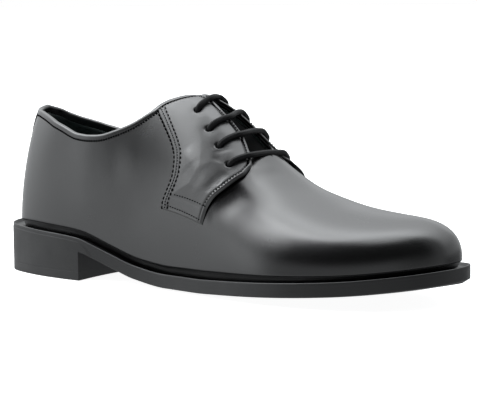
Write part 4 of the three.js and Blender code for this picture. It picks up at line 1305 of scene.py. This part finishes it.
def tube_piece(name, path, along, radius, sides, material):
    """A closed round tube with UVs: X along in mm, Y once around."""
    count = len(path)
    tangent = np.gradient(path, axis=0)
    tangent /= np.linalg.norm(tangent, axis=1, keepdims=True)
    side = np.zeros_like(path)
    side[0] = np.cross(tangent[0], (0.3, 0.2, 1.0))
    side[0] /= np.linalg.norm(side[0])
    for i in range(1, count):
        turned = side[i - 1] - tangent[i] * (side[i - 1] @ tangent[i])
        side[i] = turned / np.linalg.norm(turned)
    other = np.cross(tangent, side)
    turn = 2 * math.pi * np.arange(sides) / sides
    rings = path[:, None] + radius[:, None, None] * (
        np.cos(turn)[None, :, None] * side[:, None] + np.sin(turn)[None, :, None] * other[:, None])
    points = (rings.reshape(-1, 3) - (HEEL_ORIGIN, 0, 0)) * MM
    faces = grid_faces(count, sides, True, 0).tolist()
    faces = [tuple(reversed(face)) for face in faces]
    faces.append(tuple(range(sides)))
    faces.append(tuple(reversed(range((count - 1) * sides, count * sides))))
    mesh = bpy.data.meshes.new(name)
    mesh.from_pydata(points.tolist(), [], faces)
    shell = bmesh.new()
    shell.from_mesh(mesh)
    if shell.calc_volume(signed=True) < 0:
        bmesh.ops.reverse_faces(shell, faces=shell.faces)
    shell.to_mesh(mesh)
    shell.free()
    layer = mesh.uv_layers.new(name="UVMap")
    for polygon in mesh.polygons:
        corners = [mesh.loops[i].vertex_index for i in polygon.loop_indices]
        columns = [corner % sides for corner in corners]
        wraps = max(columns) - min(columns) > 1 and len(corners) == 4
        for i, corner, column_index in zip(polygon.loop_indices, corners, columns):
            around = column_index + sides if wraps and column_index == 0 else column_index
            layer.data[i].uv = (along[corner // sides], around / sides)
    mesh.polygons.foreach_set("use_smooth", np.ones(len(mesh.polygons), bool))
    return show_piece(name, mesh, material)


LACE_RIDE = 3.9
INNER_PRESS = 1.35


def bar_half(row, inner):
    """Half a bar from inside its eyelet to the front edge."""
    ride = LACE_RIDE - INNER_PRESS * inner

    def place(share, out):
        station = row[0] + (row[2] - row[0]) * share
        up = row[1] + (row[3] - row[1]) * share
        return off_last(1 - station if inner else station, up, out)
    return [place(0, -2.6), place(0, 0.2), place(0.05, ride - 1.5), place(0.22, ride - 0.1),
            place(0.5, ride + 0.1), place(0.8, ride + 0.1), place(1, ride + 0.1 - 0.4 * inner)]


def bar_points(row, from_inner):
    outer, inner = bar_half(LACE[row], False), bar_half(INNER_LACE[row], True)
    middle = outer[-1] * 0.55 + inner[-1] * 0.45 + (0, 0, 0.5)
    points = outer + [middle] + inner[::-1]
    return points[::-1] if from_inner else points


def hidden_run(first, second, inner, share=(0.3, 0.7)):
    """The lace's way inside the upper, pressed between lining and tongue."""
    points = []
    holes = INNER_LACE if inner else LACE
    for part in share:
        at, up = holes[first, :2] + (holes[second, :2] - holes[first, :2]) * part
        points.append(off_last(1 - at if inner else at, up, -3.5))
    return points


class SHOE_OT_lace(bpy.types.Operator):
    """Thread the lace: four straight bars, joined inside and ended at the top eyelets"""
    bl_idname = "derby_shoe.lace"
    bl_label = "Lace"

    def execute(self, context):
        given = settings().lace
        wound = finish_material(
            "waxed_lace", braid_group,
            {"Colour": tuple(given.colour), "Lit crowns": tuple(given.lit_crowns), "Pitch": 1.5, "Strands": 4.0},
            0.16, 0.9, Specular_IOR_Level=0.32)
        # outer eyelet 1 up to the inner one, down to 3, over, down to 4, over, up to 2, over
        points = bar_points(0, False)
        points += hidden_run(0, 2, True)
        points += bar_points(2, True)
        points += hidden_run(2, 3, False)
        points += bar_points(3, False)
        points += hidden_run(3, 1, True)
        points += bar_points(1, True)
        points += hidden_run(1, 0, False, (0.35, 0.8))
        path, along = smooth_path(points, 0.55)
        radius = np.full(len(path), given.thickness / MM / 2)
        end = np.minimum(along, along[-1] - along)
        radius *= np.sqrt(np.clip(1 - (1 - np.clip(end / 1.0, 0, 1)) ** 2, 0.05, 1))
        piece = tube_piece("lace", path, along, radius, 14, wound)
        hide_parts("lace_bar_1", "lace_bar_2", "lace_bar_3", "lace_bar_4")
        return {"FINISHED"}


# Stitches
def stitch_tree():
    """Geometry nodes that lay one thread stitch after another along seam lines."""
    tree = bpy.data.node_groups.new("stitch_row", "GeometryNodeTree")
    face = tree.interface
    face.new_socket("Seams", in_out="INPUT", socket_type="NodeSocketGeometry")
    for label, default in (("Pitch", 0.0026), ("Stitch", 0.0018), ("Thread", 0.0008),
                           ("Lift", 0.0002), ("Tilt", 0.1)):
        face.new_socket(label, in_out="INPUT", socket_type="NodeSocketFloat").default_value = default
    face.new_socket("Seed", in_out="INPUT", socket_type="NodeSocketInt").default_value = 7
    face.new_socket("Finish", in_out="INPUT", socket_type="NodeSocketMaterial")
    face.new_socket("Stitches", in_out="OUTPUT", socket_type="NodeSocketGeometry")
    given, made = node(tree, "NodeGroupInput"), node(tree, "NodeGroupOutput")
    line = node(tree, "GeometryNodeMeshToCurve")
    link(tree, given.outputs["Seams"], line.inputs[0])
    spread = node(tree, "GeometryNodeResampleCurve", mode="LENGTH")
    link(tree, line.outputs[0], spread.inputs["Curve"])
    link(tree, given.outputs["Pitch"], spread.inputs["Length"])
    tangent = node(tree, "GeometryNodeInputTangent")
    up = node(tree, "GeometryNodeInputNamedAttribute", data_type="FLOAT_VECTOR")
    up.inputs["Name"].default_value = "up"
    lying = node(tree, "FunctionNodeAlignRotationToVector", axis="X")
    link(tree, tangent.outputs[0], lying.inputs["Vector"])
    facing = node(tree, "FunctionNodeAlignRotationToVector", axis="Z", pivot_axis="X")
    link(tree, lying.outputs[0], facing.inputs["Rotation"])
    link(tree, up.outputs["Attribute"], facing.inputs["Vector"])
    bead = node(tree, "GeometryNodeMeshUVSphere")
    bead.inputs["Segments"].default_value = 10
    bead.inputs["Rings"].default_value = 6
    bead.inputs["Radius"].default_value = 0.5
    lying_bead = node(tree, "GeometryNodeTransform")
    link(tree, bead.outputs["Mesh"], lying_bead.inputs["Geometry"])
    lying_bead.inputs["Rotation"].default_value = (0, math.pi / 2, 0)
    sized = node(tree, "GeometryNodeTransform")
    link(tree, lying_bead.outputs[0], sized.inputs["Geometry"])
    scale = node(tree, "ShaderNodeCombineXYZ")
    link(tree, given.outputs["Stitch"], scale.inputs[0])
    link(tree, given.outputs["Thread"], scale.inputs[1])
    link(tree, given.outputs["Thread"], scale.inputs[2])
    link(tree, scale.outputs[0], sized.inputs["Scale"])
    smooth = node(tree, "GeometryNodeSetShadeSmooth")
    link(tree, sized.outputs[0], smooth.inputs[0])
    laid = node(tree, "GeometryNodeInstanceOnPoints")
    link(tree, spread.outputs[0], laid.inputs["Points"])
    link(tree, smooth.outputs[0], laid.inputs["Instance"])
    link(tree, facing.outputs[0], laid.inputs["Rotation"])
    random = node(tree, "FunctionNodeRandomValue", data_type="FLOAT")
    floats = [socket for socket in random.inputs if socket.type == "VALUE"]
    less = node(tree, "ShaderNodeMath", operation="MULTIPLY")
    link(tree, given.outputs["Tilt"], less.inputs[0])
    less.inputs[1].default_value = -1
    link(tree, less.outputs[0], floats[0])
    link(tree, given.outputs["Tilt"], floats[1])
    link(tree, given.outputs["Seed"], random.inputs["Seed"])
    turned = node(tree, "GeometryNodeRotateInstances")
    angle = node(tree, "ShaderNodeCombineXYZ")
    value = [socket for socket in random.outputs if socket.type == "VALUE"][0]
    link(tree, value, angle.inputs[2])
    link(tree, laid.outputs[0], turned.inputs["Instances"])
    link(tree, angle.outputs[0], turned.inputs["Rotation"])
    raised = node(tree, "GeometryNodeTranslateInstances")
    link(tree, turned.outputs[0], raised.inputs["Instances"])
    rise = node(tree, "ShaderNodeCombineXYZ")
    link(tree, given.outputs["Lift"], rise.inputs[2])
    link(tree, rise.outputs[0], raised.inputs["Translation"])
    real = node(tree, "GeometryNodeRealizeInstances")
    link(tree, raised.outputs[0], real.inputs[0])
    finished = node(tree, "GeometryNodeSetMaterial")
    link(tree, real.outputs[0], finished.inputs["Geometry"])
    link(tree, given.outputs["Finish"], finished.inputs["Material"])
    link(tree, finished.outputs[0], made.inputs[0])
    return tree


def sew(name, seams, material, **values):
    """Turns seam lines (points and normals in last mm) into one mesh of stitches."""
    points, normals, edges = [], [], []
    for line, normal in seams:
        start = len(points)
        points.extend(((line - (HEEL_ORIGIN, 0, 0)) * MM).tolist())
        normals.extend(normal.tolist())
        edges.extend((start + i, start + i + 1) for i in range(len(line) - 1))
    mesh = bpy.data.meshes.new(f"{name}_seams")
    mesh.from_pydata(points, edges, [])
    up = mesh.attributes.new("up", "FLOAT_VECTOR", "POINT")
    up.data.foreach_set("vector", np.asarray(normals, np.float32).ravel())
    carrier = bpy.data.objects.new(f"{name}_seams", mesh)
    bpy.context.scene.collection.objects.link(carrier)
    tree = bpy.data.node_groups.get("stitch_row") or stitch_tree()
    modifier = carrier.modifiers.new("Stitches", "NODES")
    modifier.node_group = tree
    sockets = {item.name: item.identifier for item in tree.interface.items_tree
               if item.item_type == "SOCKET" and item.in_out == "INPUT"}
    for key, value in values.items():
        modifier[sockets[key]] = value
    modifier[sockets["Finish"]] = material
    bpy.context.view_layer.update()
    ready = carrier.evaluated_get(bpy.context.evaluated_depsgraph_get())
    sewn = bpy.data.meshes.new_from_object(ready)
    bpy.data.objects.remove(carrier)
    if len(sewn.vertices) == 0:
        raise RuntimeError(f"{name}: no stitches were made")
    sewn.name = name
    piece = show_piece(name, sewn, material)
    return piece


def facing_seam(rear, front, low, high, inner):
    """A seam at a distance from the facing's rear or front edge, between two of its heights."""
    rows = np.linspace(low, high, 70)
    wide = facing_width(rows, inner)
    share = rear / wide if front is None else 1 - front / wide
    return seam_line(*facing_place(rows, share, inner), inner)


def seam_line(station, up, inner):
    height = face_height(station, up, inner)
    if inner:
        station = 1 - station
    return off_last(station, up, height), last_normal(station, up)


def thread_material(name, colour, worn):
    return finish_material(name, nap_group, {"Colour": colour, "Brushed": worn, "Fibre": 5200.0},
                           0.05, Specular_IOR_Level=0.1)


class SHOE_OT_stitches(bpy.types.Operator):
    """Sew the seams: heavy and fine rows on the facings, tab, front edge and collar"""
    bl_idname = "derby_shoe.stitches"
    bl_label = "Stitches"

    def execute(self, context):
        given = settings().seams
        black = thread_material("heavy_thread", (0.0010, 0.0010, 0.0012), (0.0030, 0.0030, 0.0034))
        grey = thread_material("fine_thread", (0.004, 0.004, 0.0045), (0.012, 0.012, 0.013))
        rear, heavy, fine, edge, tab = [], [], [], [], []
        for inner in (False, True):
            rear.append(facing_seam(SEAM_HEAVY_REAR, None, 0.02, 0.955, inner))
            heavy.append(facing_seam(SEAM_HEAVY_FRONT, None, 0.03, 0.94, inner))
            fine.append(facing_seam(SEAM_FINE, None, 0.03, 0.945, inner))
            edge.append(facing_seam(None, 2.6, 0.10, 0.46, inner))
            edge.append(facing_seam(None, 2.4, 0.49, 0.98, inner))
            for first, second in (((0.2123, 0.3297), (0.2385, 0.3390)),
                                  ((0.2050, 0.2775), (0.2340, 0.2650))):
                station, up = bend_through((first, second), 40)
                tab.append(seam_line(station, up, inner))
        # The rear row's black thread is drawn wider and longer than the other heavy row: the stitches are
        # real, and the extra width is painted shadow along the raised strip's edge.
        sew("rear_stitches", rear, black, Pitch=given.heavy_pitch, Stitch=given.heavy_pitch * 0.82,
            Thread=given.heavy_thread * 1.15, Lift=0.00022, Tilt=0.28, Seed=given.seed)
        sew("heavy_stitches", heavy, black, Pitch=given.heavy_pitch, Stitch=given.heavy_pitch * 0.7,
            Thread=given.heavy_thread * 0.8, Lift=0.0001, Tilt=0.2, Seed=given.seed + 4)
        sew("fine_stitches", fine, grey, Pitch=given.fine_pitch * 0.94, Stitch=given.fine_pitch * 0.58,
            Thread=given.fine_thread, Lift=0.0001, Tilt=0.1, Seed=given.seed + 1)
        sew("edge_stitches", edge + tab, black, Pitch=given.fine_pitch * 1.1,
            Stitch=given.fine_pitch * 0.72, Thread=given.fine_thread * 1.25, Lift=0.00006, Tilt=0.12,
            Seed=given.seed + 2)
        station, up = binding_path(230)
        inside = slice(6, -6)
        _, _, _, inward = rim_frame(station, up)
        at, high = walk(station, up, inward * (BAND_WIDTH + 0.45))
        height = binding_base(at, high)
        sew("collar_stitches", [(off_last(at, high, height)[inside], last_normal(at, high)[inside])],
            black, Pitch=given.fine_pitch * 1.05, Stitch=given.fine_pitch * 0.7,
            Thread=given.fine_thread * 1.9, Lift=0.00012, Tilt=0.1, Seed=given.seed + 3)
        return {"FINISHED"}


# The photograph's view: turn round the shoe, height of the eye, distance and lens.
EYE_TURN = 35.783
EYE_HEIGHT = 6.370
EYE_ROLL = -0.562
EYE_AWAY = 1.02543
EYE_TARGET = (0.12807, 0.0, 0.04915)
EYE_LENS = 135.49


# Brightness of the studio by height above the floor in degrees, for directions around the shoe:
# 0 is the outer side, plus toward the toe. Each pair of turns is where one fades to the next.
LIGHT_FULL = 10.0
BEHIND_LIGHT = ((-90, 1.0), (-12, 0.6), (0, 0.6), (9, 0.6), (18, 0.95), (35, 1.15), (45, 1.5), (55, 1.85),
                (62, 2.2), (70, 2.9), (77, 3.9), (84, 3.6), (90, 2.7))
STUDIO_LIGHT = (
    BEHIND_LIGHT,
    ((-90, 0.9), (-15, 0.55), (-4, 0.9), (6, 1.0), (20, 1.5), (45, 2.4), (63, 3.0), (77, 4.3), (84, 3.8),
     (90, 2.7)),
    ((-90, 1.1), (-15, 0.75), (0, 1.0), (9, 1.0), (20, 0.85), (29, 3.0), (38, 5.6), (46, 7.2), (55, 6.2),
     (63, 5.8), (77, 4.0), (90, 2.7)),
    ((-90, 1.3), (-15, 0.9), (0, 1.4), (9, 1.6), (20, 1.5), (29, 2.7), (38, 5.2), (46, 6.6), (55, 5.6),
     (63, 5.2), (77, 3.9), (90, 2.7)),
    ((-90, 1.0), (-30, 0.55), (-10, 0.36), (0, 0.42), (8, 0.31), (16, 0.09), (25, 0.03), (66, 0.03),
     (73, 0.7), (77, 1.7), (84, 2.4), (90, 2.7)),
    ((-90, 0.9), (-30, 0.5), (-10, 0.27), (0, 0.22), (8, 0.13), (16, 0.07), (25, 0.03), (66, 0.05),
     (73, 0.7), (77, 1.5), (84, 2.2), (90, 2.7)),
    ((-90, 0.9), (-30, 0.5), (-10, 0.34), (0, 0.30), (62, 0.32), (70, 0.8), (77, 1.4), (84, 2.0),
     (90, 2.7)),
    ((-90, 0.9), (-22, 0.75), (-15, 0.15), (-3, 0.2), (3, 0.5), (18, 0.6), (35, 1.1), (45, 1.4), (55, 1.85),
     (62, 2.2), (70, 3.0), (77, 3.6), (84, 3.6), (90, 2.7)),
)
STUDIO_TURNS = ((-140, -108), (-80, -60), (-52, -46), (-45, -37), (42, 66), (84, 98), (104, 122))
LIGHT_TINT = (0.975, 1.0, 1.02)


def light_ramp(tree, at, stops):
    ramp = node(tree, "ShaderNodeValToRGB")
    link(tree, at, ramp.inputs[0])
    band = ramp.color_ramp
    while len(band.elements) < len(stops):
        band.elements.new(0.5)
    for element, (degrees, level) in zip(band.elements, stops):
        element.position = (degrees + 90) / 180
        element.color = (*[level / LIGHT_FULL * share for share in LIGHT_TINT], 1)
    return ramp.outputs[0]


class SHOE_OT_stage(bpy.types.Operator):
    """Set the pale floor, the soft lights and the camera"""
    bl_idname = "derby_shoe.stage"
    bl_label = "Stage"

    def execute(self, context):
        given = settings().stage
        scene = context.scene
        scene.view_settings.view_transform = "Standard"
        self.camera(scene)
        self.floor(given)
        self.room(scene, given)
        return {"FINISHED"}

    @staticmethod
    def camera(scene):
        turn, tilt, roll = [math.radians(a) for a in (EYE_TURN, EYE_HEIGHT, EYE_ROLL)]
        back = Vector((math.sin(turn) * math.cos(tilt), -math.cos(turn) * math.cos(tilt), math.sin(tilt)))
        right = Vector((math.cos(turn), math.sin(turn), 0))
        up = back.cross(right)
        right, up = (right * math.cos(roll) + up * math.sin(roll),
                     up * math.cos(roll) - right * math.sin(roll))
        lens = bpy.data.cameras.new("photo_camera")
        lens.sensor_fit = "HORIZONTAL"
        lens.sensor_width = 36.0
        lens.lens = EYE_LENS
        lens.clip_start, lens.clip_end = 0.05, 100.0
        eye = bpy.data.objects.new("photo_camera", lens)
        scene.collection.objects.link(eye)
        eye.matrix_world = Matrix.LocRotScale(
            Vector(EYE_TARGET) + back * EYE_AWAY,
            Matrix((right, up, back)).transposed().to_quaternion(), None)
        scene.camera = eye

    @staticmethod
    def floor(given):
        mesh = bpy.data.meshes.new("floor")
        half = 30.0
        mesh.from_pydata([(-half, -half, 0), (half, -half, 0), (half, half, 0), (-half, half, 0)], [],
                         [(0, 1, 2, 3)])
        floor = bpy.data.objects.new("floor", mesh)
        bpy.context.scene.collection.objects.link(floor)
        paper = bpy.data.materials.new("floor_paper")
        paper.use_nodes = True
        shader = paper.node_tree.nodes["Principled BSDF"]
        shader.inputs["Base Color"].default_value = (*given.floor, 1)
        shader.inputs["Roughness"].default_value = 0.9
        shader.inputs["Specular IOR Level"].default_value = 0.0
        shader.inputs["Emission Color"].default_value = (1, 1, 1, 1)
        shader.inputs["Emission Strength"].default_value = given.glow
        mesh.materials.append(paper)
        floor.visible_glossy = False
        floor.visible_diffuse = False

    @staticmethod
    def room(scene, given):
        """The studio as the leather mirrors it, by direction, and plain white to the eye: bright
        overhead and toward the heel, dark from the camera's side round to the toe."""
        world = bpy.data.worlds.new("studio")
        scene.world = world
        world.use_nodes = True
        tree = world.node_tree
        tree.nodes.clear()
        out = node(tree, "ShaderNodeOutputWorld")
        parts = node(tree, "ShaderNodeSeparateXYZ")
        link(tree, node(tree, "ShaderNodeTexCoord").outputs["Generated"], parts.inputs[0])
        front = math_node(tree, "MULTIPLY", parts.outputs["Y"], -1.0)
        turn = math_node(tree, "DEGREES", math_node(tree, "ARCTAN2", parts.outputs["X"], front))
        height = math_node(tree, "DEGREES", math_node(tree, "ARCSINE", parts.outputs["Z"]))
        at = remap(tree, height, -90.0, 90.0, 0.0, 1.0)
        mixed = light_ramp(tree, at, STUDIO_LIGHT[0])
        for (low, high), stops in zip(STUDIO_TURNS, STUDIO_LIGHT[1:]):
            mixed = mix_colour(tree, remap(tree, turn, low, high, 0.0, 1.0), mixed,
                               light_ramp(tree, at, stops))
        lit = node(tree, "ShaderNodeBackground")
        link(tree, mixed, lit.inputs["Color"])
        lit.inputs["Strength"].default_value = given.sky * LIGHT_FULL
        seen = node(tree, "ShaderNodeBackground")
        seen.inputs["Color"].default_value = (1, 1, 1, 1)
        shown = node(tree, "ShaderNodeMixShader")
        link(tree, node(tree, "ShaderNodeLightPath").outputs["Is Camera Ray"], shown.inputs[0])
        link(tree, lit.outputs[0], shown.inputs[1])
        link(tree, seen.outputs[0], shown.inputs[2])
        link(tree, shown.outputs[0], out.inputs[0])


PIECES = (SHOE_OT_upper, SHOE_OT_lining, SHOE_OT_facings, SHOE_OT_binding, SHOE_OT_tongue,
          SHOE_OT_heel_stay, SHOE_OT_sole, SHOE_OT_heel, SHOE_OT_insole, SHOE_OT_lace,
          SHOE_OT_stitches, SHOE_OT_stage)


class SHOE_PT_panel(bpy.types.Panel):
    """Sizes, colours and pieces of the derby shoe"""
    bl_idname = "SHOE_PT_panel"
    bl_label = "Derby shoe"
    bl_space_type = "VIEW_3D"
    bl_region_type = "UI"
    bl_category = "Derby shoe"

    def draw(self, context):
        for name in ("leather", "seams", "lace", "sole", "stage"):
            box = self.layout.box()
            box.label(text=name.capitalize())
            group = getattr(context.scene.derby_shoe, name)
            for key in group.__annotations__:
                box.prop(group, key)
        for piece in PIECES:
            self.layout.operator(piece.bl_idname)


CLASSES = (LeatherSettings, SeamSettings, LaceSettings, SoleSettings, StageSettings, ShoeSettings,
           *PIECES, SHOE_PT_panel)


def register():
    for kind in CLASSES:
        bpy.utils.register_class(kind)
    bpy.types.Scene.derby_shoe = PointerProperty(type=ShoeSettings)


def unregister():
    del bpy.types.Scene.derby_shoe
    for kind in reversed(CLASSES):
        bpy.utils.unregister_class(kind)


def main():
    register()
    for kind in PIECES:
        family, name = kind.bl_idname.split(".")
        getattr(getattr(bpy.ops, family), name)()


if __name__ == "__main__":
    main()
